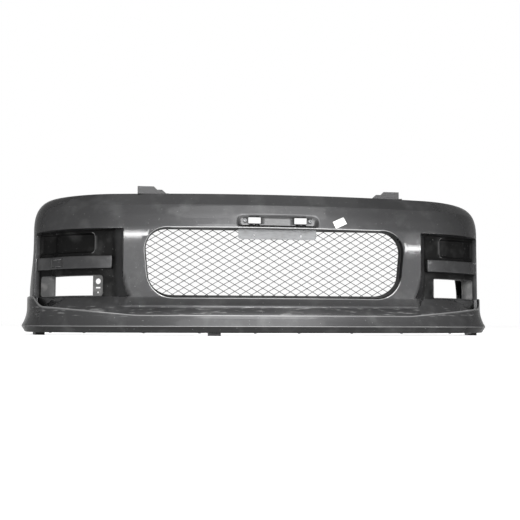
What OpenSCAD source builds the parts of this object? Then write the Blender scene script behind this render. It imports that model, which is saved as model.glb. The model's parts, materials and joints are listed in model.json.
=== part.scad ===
// Front bumper cover with lip spoiler, mesh grille and fog lamp recesses.
// Millimetres, +Z up, the front faces -Y. Left and right are as seen from in front, with +X to the right.
// The origin is under the middle of the whole part, on the surface that it stands on.
// Sections are drawn in (e, z): e is the distance out from the plan line, z the height.

/* [Plan line] */
// Radius of the long arc across the front
front_radius = 2300; // [2000:50:2800]
// Radius of the arc round each corner
corner_radius = 360; // [340:5:400]
// Turn of the plan line where the corner arc begins, degrees
corner_start = 14; // [13:0.5:15]
// Outward flare where the sides begin, degrees
side_flare = 4.5; // [2:0.5:7]
// Radius of the long, almost straight arc of each side
side_radius = 12000; // [6000:500:20000]
// Depth of the rear edge behind the front centre
side_reach = 580; // [560:5:640]

/* [Section] */
// Wall of the moulded cover
wall = 3; // [2.5:0.1:4]
// Height of the feet under the lip
foot_h = 10; // [8:1:16]
// Height of the lip's front face
lip_face_h = 59; // [52:1:66]
// Height of the ledge above the lip
ledge_h = 28; // [22:1:34]
// Height of the tucked-in band under the grille opening
tuck_h = 30; // [24:1:36]
// Depth of that tuck
tuck_in = 25; // [18:1:30]
// Reach of the ledge out over the plan line
ledge_out = 8.5; // [7:0.1:8.6]
// Width of the inward flange along the bottom
bottom_flange = 44; // [36:1:56]
// Height of the brow between the grille opening and the crease
brow_h = 82; // [74:1:92]
// Set-back of the crease
brow_lean = 31; // [24:1:36]
// Set-back half way up the brow
brow_swell = 11; // [8:0.5:14]
// Height of the top strip above the crease
strip_h = 42; // [34:1:50]
// Set-back of the top edge behind the crease
strip_lean = 45; // [36:1:56]
// Depth of the flat flange behind the top edge
top_return = 50; // [44:1:60]

/* [Grille] */
// Height of the grille opening
grille_h = 231; // [220:1:250]
// Half width of the opening at its top corners
grille_half_top = 448; // [420:1:460]
// Half width of the opening at its bottom corners
grille_half_bottom = 425; // [400:1:440]
// Radius of the top corners
grille_top_r = 70; // [50:1:90]
// Radius of the bottom corners
grille_bottom_r = 85; // [60:1:100]
// Depth of the return behind the front centre
return_back = 92; // [84:1:110]
// Width of the flange at the back of the return
return_flange = 18; // [16:1:24]
// Width of one mesh diamond, centre to centre
diamond_w = 38.5; // [34:0.5:46]
// Height of one mesh diamond, centre to centre
diamond_h = 23; // [20:0.5:28]
// Width of a mesh strand
strand_w = 2.6; // [2:0.1:4]
// Thickness of the mesh
strand_t = 2; // [1.5:0.1:3]
// Solid edge of the mesh, and its distance inside the flange's edge
mesh_edge = 2.5; // [2:0.1:4]
// Thickness of the retainer ring
retainer_t = 3; // [2.5:0.1:4]
// Width of the retainer ring
retainer_w = 14; // [12:0.5:15]
// Radius of the mesh screws
mesh_screw_r = 2; // [1.5:0.1:2.5]

/* [Number plate seat] */
// Half width of the seat
seat_half = 134; // [128:1:150]
// Height of the seat
seat_h = 39; // [36:1:44]
// Rise of the seat's lower edge above the opening
seat_rise = 5; // [4:0.5:8]
// Depth of the seat's flat face behind the front centre
seat_depth = 20; // [19:0.5:26]
// Run of the sloping sill below the seat
sill_h = 8; // [5:0.5:10]
// Corner radius of the seat
seat_r = 14; // [8:1:17]
// Width of a slot
slot_w = 43; // [36:1:48]
// Height of a slot
slot_h = 20; // [16:1:22]
// Distance from the middle to a slot's centre
slot_x = 79; // [74:1:82]
// Distance from the middle to a plate nut
plate_nut_x = 111; // [108:0.5:116]
// Bore radius of a plate nut
plate_nut_bore = 2.4; // [2:0.1:3]
// Body radius of a plate nut
plate_nut_r = 4; // [3.5:0.1:5]
// Flange radius of a plate nut
plate_nut_flange = 6; // [5.5:0.1:7]

/* [Plate bracket] */
// Half width of the bracket under the opening's top edge
bracket_half = 133; // [124:1:150]
// Drop of the bracket below the opening's top edge
bracket_drop = 34; // [28:1:40]
// Sheet thickness
bracket_t = 2; // [1.5:0.1:3]
// Depth of its front face behind the front centre
bracket_depth = 22; // [18:1:30]
// Depth of its top flange
bracket_flange = 34; // [26:1:44]
// Depth of the lower fold
bracket_fold = 9; // [6:0.5:14]
// Distance from the middle to a fixing hole
bracket_hole_x = 80; // [70:1:90]
// Radius of the fixing holes
bracket_hole_r = 3; // [2.5:0.1:3.5]
// Depth of the fixing holes under the opening's top edge
bracket_hole_drop = 22; // [18:1:24]

/* [Corner recess] */
// Turn of the plan line at the recess's outer end, degrees
recess_end = 64.6; // [62:0.2:66]
// Depth of the recess floor
floor_in = 48; // [44:1:52]
// Width of the sloping inner wall along the front
recess_slope = 44; // [38:1:50]
// Rise of the recess's sill above the opening's lower edge
recess_sill = 1; // [0:0.5:3]
// Drop of the recess's head below the opening's upper edge
recess_head = 1; // [0:0.5:3]
// Depth of the bar's face
bar_in = 30; // [26:1:34]
// Rise of the bar's lower edge above the sill
bar_rise = 97; // [94:1:104]
// Height of the bar
bar_h = 44; // [40:1:48]
// Depth of the upper pocket
pocket_in = 70; // [62:1:76]
// Turn of the plan line at the pocket's inner end, degrees
pocket_start = 26.4; // [24:0.2:29]
// Margin of the pocket above the bar and below the recess's head
pocket_margin = 11; // [8:1:14]

/* [Fog lamp place] */
// Turn of the plan line at the lamp opening's inner end, degrees
fog_start = 20.4; // [19:0.2:22]
// Turn of the plan line at the lamp opening's outer end, degrees
fog_end = 63.2; // [62:0.2:64]
// Rise of the lamp opening above the sill
fog_rise = 4; // [4:0.5:8]
// Height of the lamp opening
fog_h = 72; // [66:1:76]
// Thickness of the lamp bracket
fog_bracket_t = 3; // [2.5:0.1:4]
// Width of the lamp bracket round the opening
fog_bracket_rim = 12; // [9:0.5:14]
// Turn of the plan line where the bracket's inner ear ends, degrees
ear_end = 27.4; // [26:0.2:29]
// Turn where the outer ear begins, degrees
outer_ear = 63; // [60:0.5:63.5]
// Length that is left of the broken ear on the right, degrees
stub_end = 21.6; // [20.8:0.2:23]
// Radius of the ear's aiming hole
aim_hole_r = 9.5; // [7:0.5:10.5]
// Radius of the lamp's fixing hole
lamp_hole_r = 3; // [2:0.1:4]
// Radius of the bracket screws
bracket_screw_r = 2; // [1.5:0.1:2.5]

/* [Access cover] */
// Turn of the plan line at the cover's middle, degrees
access_at = 55; // [50:0.5:57]
// Width of the cover along the bar
access_w = 60; // [50:1:66]
// Height of the cover
access_h = 23; // [20:1:27]
// Thickness of the cover
access_t = 4; // [3.5:0.1:5]
// Gap round the cover
access_gap = 0.5; // [0.4:0.1:0.8]
// Gap past the hinged edge
hinge_gap = 1.4; // [1.3:0.1:2]
// Radius of the hinge stubs
stub_r = 1.2; // [1:0.1:1.3]
// Length of a hinge stub
stub_l = 4; // [3:0.5:5]
// Clearance of a stub in its bore
stub_clear = 0.05; // [0.02:0.01:0.1]
// Depth of the frame round the cover's hole
access_frame = 9; // [8:0.5:12]
// Wall of that frame
access_wall = 4; // [3.5:0.5:5]

/* [Upper brackets] */
// Inner end of the bracket from the middle
upper_x0 = 361; // [350:1:370]
// Outer end of the bracket from the middle
upper_x1 = 465; // [455:1:475]
// Inner end of the upright's full height
upper_step_x = 409; // [400:1:420]
// Height of the upright above the flange
upper_h = 31; // [26:1:36]
// Height of the low step of the upright
upper_low_h = 20; // [16:1:24]
// Depth of the upright's front face behind the front centre
upper_depth = 160; // [156:1:166]
// Depth of the base plate
upper_base = 42; // [36:1:46]
// Sheet thickness
upper_t = 2.5; // [2:0.1:3]
// Distance from the middle to the bolt hole in the base plate
upper_hole_x = 413; // [406:1:420]
// Radius of the bolt hole
upper_hole_r = 4.5; // [4:0.1:5.5]
// Radius of the rivets
rivet_r = 2.4; // [2:0.1:3]

/* [Lip spoiler] */
// Wall of the lip
lip_wall = 3.5; // [3:0.1:4.5]
// Reach of the lip's tip out over the plan line
lip_out = 29; // [26:0.5:34]
// Height of the tip above the lip's underside
tip_h = 22; // [18:1:26]
// Undercut of the lip below the tip
lip_chamfer = 13; // [9:1:16]
// Stand-off of the lip's upper wall
lip_stand = 9; // [8:0.5:12]
// Rise of the lip's ends above the lip's front top edge
lip_end_rise = 68; // [60:1:74]
// Half width of the level stretch of the lip's top edge
lip_level_half = 470; // [420:5:500]
// Half width where the top edge turns up
lip_turn_half = 792; // [770:1:800]
// Rise of the top edge at that turn
lip_turn_rise = 31; // [24:1:36]
// Half width where the top edge reaches its full rise
lip_full_half = 822; // [812:1:826]
// Gap between the lip and the cover's skin
lip_gap = 0.4; // [0.3:0.1:0.8]
// Number of lip screws each side
lip_screw_count = 5; // [3:1:6]
// Radius of the lip screws
lip_screw_r = 2.5; // [2:0.1:3]
// Distance of the lip screws inside the plan line
lip_screw_in = 22; // [18:0.5:26]

/* [Feet] */
// Turn of the plan line where an end foot begins, degrees
foot_start = 72; // [70:0.5:76]
// Inner edge of an end foot inside the plan line
foot_in = 34; // [30:1:38]
// Outer edge of an end foot inside the plan line
foot_out = 2; // [0:0.5:6]
// Distance from the middle to the centre foot
centre_foot_x = 213; // [190:1:250]
// Width of the centre foot
centre_foot_w = 43; // [36:1:60]

/* [Wheel arch] */
// Radius of the wheel arch
arch_radius = 340; // [320:5:360]
// Depth of the arch's cut into the rear edge
arch_notch = 35; // [28:1:45]
// Height of the arch's centre
arch_z = 150; // [130:1:170]
// Width of the arch flange
arch_flange = 28; // [24:1:34]
// Distance of the arch nuts inside the plan line
arch_nut_in = 14; // [11:0.5:17]
// Bore radius of the arch nuts
arch_nut_bore = 2.6; // [2:0.1:3]

/* [Hidden] */

front_fn = 360;
corner_fn = 180;
small_fn = 40;
beyond = 60;
fit = 0.1;

paint_colour = "#4a4a4c";
black_colour = "#1c1c1e";
sheet_colour = "#8c8e90";
steel_colour = "#b9bcc0";
nylon_colour = "#77787a";

// Heights, from the floor up
z_lip = foot_h;
z_flange = z_lip + lip_wall;
z_lip_top = z_lip + lip_face_h;
z_ledge = z_lip_top + ledge_h;
z_open0 = z_ledge + tuck_h;
z_open1 = z_open0 + grille_h;
z_face = z_open1 + wall;
z_crease = z_open1 + brow_h;
z_brow = (z_face + z_crease) / 2;
z_top = z_crease + strip_h;
z_recess0 = z_open0 + recess_sill;
z_recess1 = z_open1 - recess_head;
z_bar0 = z_recess0 + bar_rise;
z_bar1 = z_bar0 + bar_h;
z_pocket0 = z_bar1 + pocket_margin;
z_pocket1 = z_recess1 - pocket_margin;
z_fog0 = z_recess0 + fog_rise;
z_fog1 = z_fog0 + fog_h;
z_seat0 = z_open1 + seat_rise;
z_seat1 = z_seat0 + seat_h;
z_access = (z_bar0 + z_bar1) / 2;

// Depth at which a moulded wall is rooted in the skin
root = wall / 2;
// Depth at which the recess's sill is rooted, clear of the tucked band's outer face
sill_root = 0.9 * wall;

// Plan line
corner_x = (front_radius - corner_radius) * sin(corner_start);
corner_y = front_radius - (front_radius - corner_radius) * cos(corner_start);
corner_end = 90 - side_flare;
corner_at = [corner_x, corner_y];
side_at = corner_at + (corner_radius - side_radius) * [sin(corner_end), -cos(corner_end)];
side_from_y = corner_y - corner_radius * cos(corner_end);
to_degrees = 180 / PI;
side_turn = (side_reach - side_from_y + 2 * beyond) / side_radius * to_degrees;
recess_edge = corner_start - recess_slope / front_radius * to_degrees;
// Depth of the wheel arch's centre behind the front centre
arch_y = side_reach - arch_notch + arch_radius;

function plan_front(turn, e) = [(front_radius + e) * sin(turn), front_radius - (front_radius + e) * cos(turn)];
function plan_corner(turn, e) = [corner_x + (corner_radius + e) * sin(turn), corner_y - (corner_radius + e) * cos(turn)];
function front_turn(x) = asin(x / front_radius);
function hundredth(v) = round(v * 100) / 100;
function side_x(y) = side_at[0] + sqrt(side_radius * side_radius - (y - side_at[1]) * (y - side_at[1]));

// A line of points made into a closed strip, with its thickness to the right of the walk
function unit(v) = v / norm(v);
function right_of(v) = [v[1], -v[0]];
function side_dir(line, i) = right_of(unit(line[i + 1] - line[i]));
function miter(a, b) = (a + b) / (1 + a * b);
function strip_dir(line, i) =
    i == 0 ? side_dir(line, 0) :
    i == len(line) - 1 ? side_dir(line, i - 1) :
    miter(side_dir(line, i - 1), side_dir(line, i));
function strip(line, t) = concat(line, [for (i = [len(line) - 1:-1:0]) line[i] + strip_dir(line, i) * t]);

// A polygon with its corners rounded, each by its own radius
function corner_arc(a, b, c, r, n = 8) =
    let (u = unit(a - b), v = unit(c - b), half = acos(u * v) / 2, m = unit(u + v),
         centre = b + m * r / sin(half), start = b + u * r / tan(half) - centre,
         sweep_a = 180 - 2 * half, spin = cross(u, v) < 0 ? 1 : -1)
    [for (i = [0:n]) let (w = spin * sweep_a * i / n)
        centre + [start[0] * cos(w) - start[1] * sin(w), start[0] * sin(w) + start[1] * cos(w)]];
function rounded(points, radii) =
    [for (i = [0:len(points) - 1]) let (n = len(points))
        each corner_arc(points[(i + n - 1) % n], points[i], points[(i + 1) % n], radii[i])];

function grille_outline(grow = 0) = rounded(
    [[grille_half_top + grow, z_open1 + grow], [-grille_half_top - grow, z_open1 + grow],
     [-grille_half_bottom - grow, z_open0 - grow], [grille_half_bottom + grow, z_open0 - grow]],
    [grille_top_r + grow, grille_top_r + grow, grille_bottom_r + grow, grille_bottom_r + grow]);

// Sections of the cover, from the top return down to the bottom flange
cover_line = [
    [-brow_lean - strip_lean - top_return, z_top],
    [-brow_lean - strip_lean, z_top],
    [-brow_lean, z_crease],
    [-brow_swell, z_brow],
    [0, z_face],
    [0, z_open0],
    [-tuck_in, z_ledge],
    [ledge_out, z_lip_top],
    [ledge_out, z_flange],
    [ledge_out - bottom_flange, z_flange]];

// Sections of the recess, from its head down to its sill: beside the bar, with the bar, and with the pocket too
bare_recess_line = [[-root, z_recess1], [-floor_in, z_recess1], [-floor_in, z_recess0], [-sill_root, z_recess0]];
plain_recess_line = [
    [-root, z_recess1], [-floor_in, z_recess1], [-floor_in, z_bar1], [-bar_in, z_bar1],
    [-bar_in, z_bar0], [-floor_in, z_bar0], [-floor_in, z_recess0], [-sill_root, z_recess0]];
pocket_recess_line = [
    [-root, z_recess1], [-floor_in, z_recess1], [-floor_in, z_pocket1], [-pocket_in, z_pocket1],
    [-pocket_in, z_pocket0], [-floor_in, z_pocket0], [-floor_in, z_bar1], [-bar_in, z_bar1],
    [-bar_in, z_bar0], [-floor_in, z_bar0], [-floor_in, z_recess0], [-sill_root, z_recess0]];

// Section of the lip: a hollow flare down to the tip, an undercut, and a flange under the cover
flare_top = z_ledge + wall;
flare_drop = flare_top - z_lip - tip_h;
flare_gain = lip_out - lip_stand;
flare_r = (flare_gain * flare_gain + flare_drop * flare_drop) / (2 * flare_gain);
flare_sweep = asin(flare_drop / flare_r);
z_lip_end = z_lip_top + lip_end_rise;
lip_over = z_lip_end + wall;
lip_line = concat(
    [[lip_stand, lip_over]],
    [for (i = [0:6]) let (w = flare_sweep * i / 6)
        [lip_stand + flare_r * (1 - cos(w)), flare_top - flare_r * sin(w)]],
    [[lip_out - lip_chamfer, z_lip], [ledge_out - bottom_flange, z_lip]]);

// Places of the screws and nuts under the lip, as turns of the plan line
lip_screw_front = [for (i = [0:lip_screw_count - 3]) corner_start * (i + 0.4) / (lip_screw_count - 2)];
lip_screw_corner = [30, 58];

// Hinge of the access cover
access_r = corner_radius - bar_in;
access_half = access_w / 2 / access_r * to_degrees;
access_turn0 = access_at - access_half;
access_turn1 = access_at + access_half;
hinge_r = access_r - access_t / 2;
hinge_turn = access_turn1 - (access_t / 2) / access_r * to_degrees;
hinge_gap_turn = hinge_gap / access_r * to_degrees;
access_gap_turn = access_gap / access_r * to_degrees;

// Mesh screws round the opening, as pairs of x and z on the flange's middle line
screw_line = return_flange / 2;
mesh_screw_half = grille_half_bottom - grille_bottom_r;
mesh_screw_places = [
    for (x = [-mesh_screw_half, 0, mesh_screw_half]) each [[x, z_open0 - screw_line], [x, z_open1 + screw_line]],
    for (s = [-1, 1]) [s * ((grille_half_top + grille_half_bottom) / 2 + screw_line), (z_open0 + z_open1) / 2]];
mesh_y = return_back;
retainer_y = mesh_y + strand_t;

module placed() {
    translate([0, -(side_reach - lip_out) / 2, 0])
        children();
}

module both_sides() {
    children();
    mirror([1, 0, 0])
        children();
}

// A move in two steps, which keeps enough digits for sweeps to meet without a gap
module to_centre(p) {
    coarse = [for (c = p) hundredth(c)];
    translate(coarse)
        translate(p - coarse)
            children();
}

// Sweeps of a section in (e, z)
module along_front(turn0, turn1) {
    translate([0, front_radius, 0])
        rotate_extrude(angle = turn1 - turn0, start = 270 + turn0, $fn = front_fn)
            translate([front_radius, 0])
                children();
}

module along_corner(turn0, turn1) {
    to_centre(corner_at)
        rotate_extrude(angle = turn1 - turn0, start = 270 + turn0, $fn = corner_fn)
            translate([corner_radius, 0])
                children();
}

module along_side() {
    to_centre(side_at)
        rotate_extrude(angle = side_turn, start = 270 + corner_end, $fn = front_fn)
            translate([side_radius, 0])
                children();
}

module along_plan() {
    along_front(-corner_start, corner_start)
        children();
    both_sides() {
        along_corner(corner_start, corner_end)
            children();
        along_side()
            children();
    }
}

// Shapes seen from in front, run back from y0 to y1
module from_front(y0, y1) {
    translate([0, y1, 0])
        rotate([90, 0, 0])
            linear_extrude(y1 - y0)
                children();
}

module band(e0, e1, z0, z1) {
    translate([e0, z0])
        square([e1 - e0, z1 - z0]);
}

// Local frames on the plan line: -Y points out, +Z up
module at_front(turn, e, z) {
    p = plan_front(turn, e);
    translate([p[0], p[1], z])
        rotate([0, 0, turn])
            children();
}

module at_corner(turn, e, z) {
    p = plan_corner(turn, e);
    translate([p[0], p[1], z])
        rotate([0, 0, turn])
            children();
}

module rod(r, l) {
    cylinder(r = r, h = l, $fn = small_fn);
}

// A rod that runs back along +Y
module rod_back(r, l) {
    rotate([-90, 0, 0])
        rod(r, l);
}

// A screw or rivet along +Z: its head lies under z = 0
module headed(r, l, head_r, head_h) {
    rod(r, l);
    translate([0, 0, -head_h])
        rod(head_r, head_h);
}

module rear_trim() {
    wide = 2 * (corner_x + corner_radius) + 4 * beyond;
    translate([-wide / 2, side_reach, -beyond])
        cube([wide, 3 * beyond, z_top + 3 * beyond]);
    translate([-wide / 2, arch_y, arch_z])
        rotate([0, 90, 0])
            cylinder(r = arch_radius, h = wide, $fn = corner_fn);
}

// Cover: the skin and what is moulded into it
module recess_cut() {
    along_front(recess_edge, corner_start)
        band(-floor_in, beyond, z_recess0, z_recess1);
    along_corner(corner_start, recess_end)
        band(-floor_in, beyond, z_recess0, z_recess1);
}

module skin() {
    difference() {
        along_plan()
            polygon(strip(cover_line, wall));
        from_front(-beyond, return_back)
            polygon(grille_outline());
        both_sides()
            recess_cut();
        seat_cut();
        rear_trim();
    }
}

module grille_return() {
    intersection() {
        union() {
            from_front(-beyond, return_back)
                difference() {
                    polygon(grille_outline(wall));
                    polygon(grille_outline());
                }
            from_front(return_back - wall, return_back)
                difference() {
                    polygon(grille_outline(return_flange));
                    polygon(grille_outline());
                }
        }
        along_front(-corner_start, corner_start)
            band(-2 * return_back, -root, z_open0 - 2 * return_flange, z_open1 + 2 * return_flange);
    }
}

module seat_outline(grow) {
    x = seat_half + grow - seat_r;
    z0 = z_seat0 - grow + seat_r;
    z1 = z_seat1 + grow - seat_r;
    translate([-x - seat_r, z0])
        square([2 * (x + seat_r), z1 - z0]);
    translate([-x, z0 - seat_r])
        square([2 * x, z1 - z0 + 2 * seat_r]);
    for (sx = [-x, x], z = [z0, z1])
        translate([sx, z])
            circle(seat_r, $fn = small_fn);
}

module seat_block(grow) {
    intersection() {
        from_front(-beyond, seat_depth + grow)
            seat_outline(grow);
        rotate([90, 0, 90])
            translate([0, 0, -seat_half - beyond])
                linear_extrude(2 * (seat_half + beyond))
                    polygon([[-beyond, z_seat0 - grow], [0, z_seat0 - grow], [seat_depth + grow, z_seat0 + sill_h - grow],
                             [seat_depth + grow, z_seat1 + grow], [-beyond, z_seat1 + grow]]);
    }
}

module seat_cut() {
    seat_block(0);
}

module seat_shell() {
    difference() {
        intersection() {
            seat_block(wall);
            along_front(-corner_start, corner_start)
                polygon([[-beyond, z_open1], [-root, z_open1], [-root, z_face], [-brow_swell - root, z_brow],
                         [-brow_lean - root, z_crease], [-beyond, z_crease]]);
        }
        seat_cut();
        for (s = [-1, 1]) {
            translate([s * slot_x - slot_w / 2, seat_depth - wall, (z_seat0 + sill_h + z_seat1 - slot_h) / 2])
                cube([slot_w, 3 * wall, slot_h]);
            translate([s * plate_nut_x, seat_depth - wall, plate_nut_z])
                rod_back(plate_nut_r + fit, 3 * wall);
        }
    }
}
plate_nut_z = (z_seat0 + sill_h + z_seat1) / 2;

module recess_wall() {
    edge = plan_front(recess_edge, -root / 4);
    foot = plan_corner(corner_start, -floor_in);
    along = unit(foot - edge) * wall;
    back = -right_of(along);
    translate([0, 0, z_recess0 - root / 4])
        linear_extrude(z_recess1 - z_recess0 + root / 2)
            polygon([edge, foot + along, foot + along + back, edge + back]);
    for (sheet = [[z_recess0 - wall, sill_root], [z_recess1, root]])
        translate([0, 0, sheet[0]])
            linear_extrude(wall)
                polygon([plan_front(recess_edge, -sheet[1]), plan_corner(corner_start + wall_turn, -sheet[1]),
                         plan_corner(corner_start + wall_turn, -floor_in), foot]);
}

// Turn of the corner arc that spans a wall's thickness at the recess floor
wall_turn = hundredth(wall / (corner_radius - floor_in) * to_degrees);

module recess_liner() {
    difference() {
        union() {
            along_corner(corner_start - wall_turn, corner_start)
                polygon(strip(bare_recess_line, wall));
            along_corner(corner_start, pocket_start)
                polygon(strip(plain_recess_line, wall));
            along_corner(corner_start, corner_start + wall_turn)
                band(-floor_in - root, -bar_in - root, z_bar0 + root, z_bar1 - root);
            along_corner(pocket_start, recess_end)
                polygon(strip(pocket_recess_line, wall));
            along_corner(pocket_start - wall_turn, pocket_start)
                band(-pocket_in - root, -floor_in - root, z_pocket0 - root, z_pocket1 + root);
            along_corner(recess_end, recess_end + wall_turn)
                band(-pocket_in - root, -root, z_recess0 - root, z_recess1 + root);
        }
        along_corner(fog_start, fog_end)
            band(-pocket_in, -floor_in + wall, z_fog0, z_fog1);
        for (p = bracket_screw_places)
            at_corner(p[0], -pocket_in, p[1])
                rotate([90, 0, 0])
                    rod(bracket_screw_r + fit, pocket_in);
    }
    recess_wall();
}

// Screws of a lamp bracket, as pairs of turn and height: two beside the opening and two above it
bracket_screw_turn = (corner_start + fog_start) / 2;
bracket_screw_z = z_fog1 + fog_bracket_rim / 2;
bracket_screw_places = [
    [bracket_screw_turn, z_fog0 + fog_h / 6], [bracket_screw_turn, z_fog1 - fog_h / 6],
    [(ear_end + outer_ear) / 2, bracket_screw_z], [outer_ear, bracket_screw_z]];

module access_hole(depth) {
    along_corner(access_turn0 - access_gap_turn, access_turn1 + hinge_gap_turn)
        band(-bar_in - depth, beyond, z_access - access_h / 2 - access_gap, z_access + access_h / 2 + access_gap);
}

module access_frame_ring() {
    frame_turn = access_wall / access_r * to_degrees;
    along_corner(access_turn0 - access_gap_turn - frame_turn, access_turn1 + hinge_gap_turn + frame_turn)
        band(-bar_in - access_frame, -bar_in - root, z_access - access_h / 2 - access_gap - access_wall,
             z_access + access_h / 2 + access_gap + access_wall);
}

module hinge_bores() {
    reach = access_h / 2 + access_gap + access_wall + root;
    at_corner(hinge_turn, -bar_in - access_t / 2, z_access - reach)
        rod(stub_r + stub_clear, 2 * reach);
}

module arch_flange_wall() {
    intersection() {
        translate([0, arch_y, arch_z])
            rotate([0, 90, 0])
                difference() {
                    cylinder(r = arch_radius + wall, h = 2 * (corner_x + corner_radius), $fn = corner_fn);
                    translate([0, 0, -beyond])
                        cylinder(r = arch_radius, h = 2 * (corner_x + corner_radius + beyond), $fn = corner_fn);
                }
        along_side()
            band(-arch_flange, -root, z_open0, z_open1);
        cube([2 * (corner_x + corner_radius), side_reach, z_top]);
    }
}
arch_nut_x = side_x(arch_y - arch_radius) - arch_nut_in;

module upper_rivet_places() {
    for (x = [upper_x0 + upper_base / 2, upper_x1 - upper_base / 2])
        translate([x, upper_depth - upper_base / 2, z_top])
            children();
}

module upper_bolt_place() {
    translate([upper_hole_x, upper_depth - upper_base / 2, z_top])
        children();
}

module lip_screw_places() {
    both_sides() {
        for (turn = lip_screw_front)
            at_front(turn, -lip_screw_in, z_lip)
                children();
        for (turn = lip_screw_corner)
            at_corner(turn, -lip_screw_in, z_lip)
                children();
    }
}

foot_turn = (foot_start + corner_end) / 2;
foot_mid = -(foot_in + foot_out) / 2;
module foot_screw_places() {
    both_sides()
        at_corner(foot_turn, foot_mid, z_lip)
            children();
    at_front(front_turn(-centre_foot_x), foot_mid, z_lip)
        children();
}

module bumper_cover() {
    color(paint_colour)
        placed()
            difference() {
                union() {
                    skin();
                    grille_return();
                    seat_shell();
                    both_sides() {
                        recess_liner();
                        arch_flange_wall();
                    }
                    mirror([1, 0, 0])
                        access_frame_ring();
                }
                mirror([1, 0, 0]) {
                    access_hole(access_frame + wall);
                    hinge_bores();
                }
                for (p = mesh_screw_places)
                    translate([p[0], return_back - 2 * wall, p[1]])
                        rod_back(mesh_screw_r + fit, 3 * wall);
                both_sides() {
                    upper_rivet_places()
                        translate([0, 0, -2 * wall])
                            rod(rivet_r + fit, 3 * wall);
                    upper_bolt_place()
                        translate([0, 0, -2 * wall])
                            rod(upper_hole_r + 1, 3 * wall);
                    translate([arch_nut_x, arch_y - arch_radius - 2 * wall, arch_z])
                        rod_back(arch_nut_bore + fit, 3 * wall);
                }
                for (x = plate_rivet_x)
                    translate([x, plate_rivet_y, z_open1 - wall])
                        rod(rivet_r + fit, 3 * wall);
                lip_screw_places()
                    translate([0, 0, -wall])
                        rod(lip_screw_r + fit, 4 * wall);
                foot_screw_places()
                    translate([0, 0, -wall])
                        rod(lip_screw_r + fit, 4 * wall);
            }
}

module lip_section() {
    polygon(strip(lip_line, lip_wall));
    polygon([[lip_stand, lip_over], [lip_stand, z_open0 - lip_wall], [lip_stand - lip_wall, z_open0 - lip_wall],
             [lip_gap, z_open0], [lip_gap, lip_over]]);
}

module lip_top_cut() {
    top = z_lip_end + beyond;
    wide = lip_full_half + 2 * beyond;
    polygon([[-wide, top], [-wide, z_lip_end], [-lip_full_half, z_lip_end],
             [-lip_turn_half, z_lip_top + lip_turn_rise], [-lip_level_half, z_lip_top],
             [lip_level_half, z_lip_top], [lip_turn_half, z_lip_top + lip_turn_rise],
             [lip_full_half, z_lip_end], [wide, z_lip_end], [wide, top]]);
}

module lip_spoiler() {
    color(paint_colour)
        placed()
            difference() {
                along_plan()
                    lip_section();
                from_front(-beyond, side_reach + beyond)
                    lip_top_cut();
                rear_trim();
                lip_screw_places()
                    translate([0, 0, -lip_wall])
                        rod(lip_screw_r + fit, 3 * lip_wall);
                foot_screw_places()
                    translate([0, 0, -lip_wall])
                        rod(lip_screw_r + fit, 3 * lip_wall);
            }
}

module diamond() {
    w = (diamond_w - strand_w * norm([diamond_w, diamond_h]) / diamond_h) / 2;
    h = (diamond_h - strand_w * norm([diamond_w, diamond_h]) / diamond_w) / 2;
    polygon([[w, 0], [0, h], [-w, 0], [0, -h]]);
}

// Diamonds that lie wholly inside the mesh's edge
mesh_grow = return_flange - mesh_edge;
function inside_mesh(x, z) =
    let (h = z - (z_open0 + z_open1) / 2,
         half = (grille_half_top + grille_half_bottom) / 2 + (grille_half_top - grille_half_bottom) * h / grille_h + mesh_grow,
         clear_x = half - diamond_w / 2 - mesh_edge - abs(x), clear_z = grille_h / 2 + mesh_grow - diamond_h / 2 - mesh_edge - abs(h),
         round_r = h > 0 ? grille_top_r : grille_bottom_r,
         dx = max(round_r - clear_x, 0), dz = max(round_r - clear_z, 0))
    clear_x > 0 && clear_z > 0 && norm([dx, dz]) < round_r;
columns = ceil(grille_half_top * 2 / diamond_w);
rows = ceil(grille_h * 2 / diamond_h);

module grille_mesh() {
    color(steel_colour)
        placed()
            from_front(mesh_y, mesh_y + strand_t)
                difference() {
                    polygon(grille_outline(mesh_grow));
                    for (i = [-columns:columns], j = [-rows:rows])
                        if ((i + j) % 2 == 0) {
                            x = i * diamond_w / 2;
                            z = (z_open0 + z_open1) / 2 + j * diamond_h / 2;
                            if (inside_mesh(x, z))
                                translate([x, z])
                                    diamond();
                        }
                    for (p = mesh_screw_places)
                        translate(p)
                            circle(mesh_screw_r + fit, $fn = small_fn);
                }
}

module mesh_retainer() {
    color(black_colour)
        placed()
            difference() {
                from_front(retainer_y, retainer_y + retainer_t)
                    polygon(grille_outline(mesh_grow));
                from_front(retainer_y - retainer_t, retainer_y + 2 * retainer_t)
                    polygon(grille_outline(mesh_grow - retainer_w));
                for (p = mesh_screw_places)
                    translate([p[0], retainer_y - retainer_t, p[1]])
                        rod_back(mesh_screw_r + fit, 3 * retainer_t);
            }
}

module mesh_screws() {
    color(steel_colour)
        placed()
            for (p = mesh_screw_places)
                translate([p[0], retainer_y + retainer_t, p[1]])
                    rotate([90, 0, 0])
                        headed(mesh_screw_r, retainer_t + strand_t + 2 * wall, 2 * mesh_screw_r, 1.2 * mesh_screw_r);
}

// Plate bracket: a folded strip that hangs from the opening's top return
plate_rivet_x = [-bracket_half * 0.75, 0, bracket_half * 0.75];
plate_rivet_y = bracket_depth + bracket_flange * 0.6;
bracket_corner = 4 * bracket_t;

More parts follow.
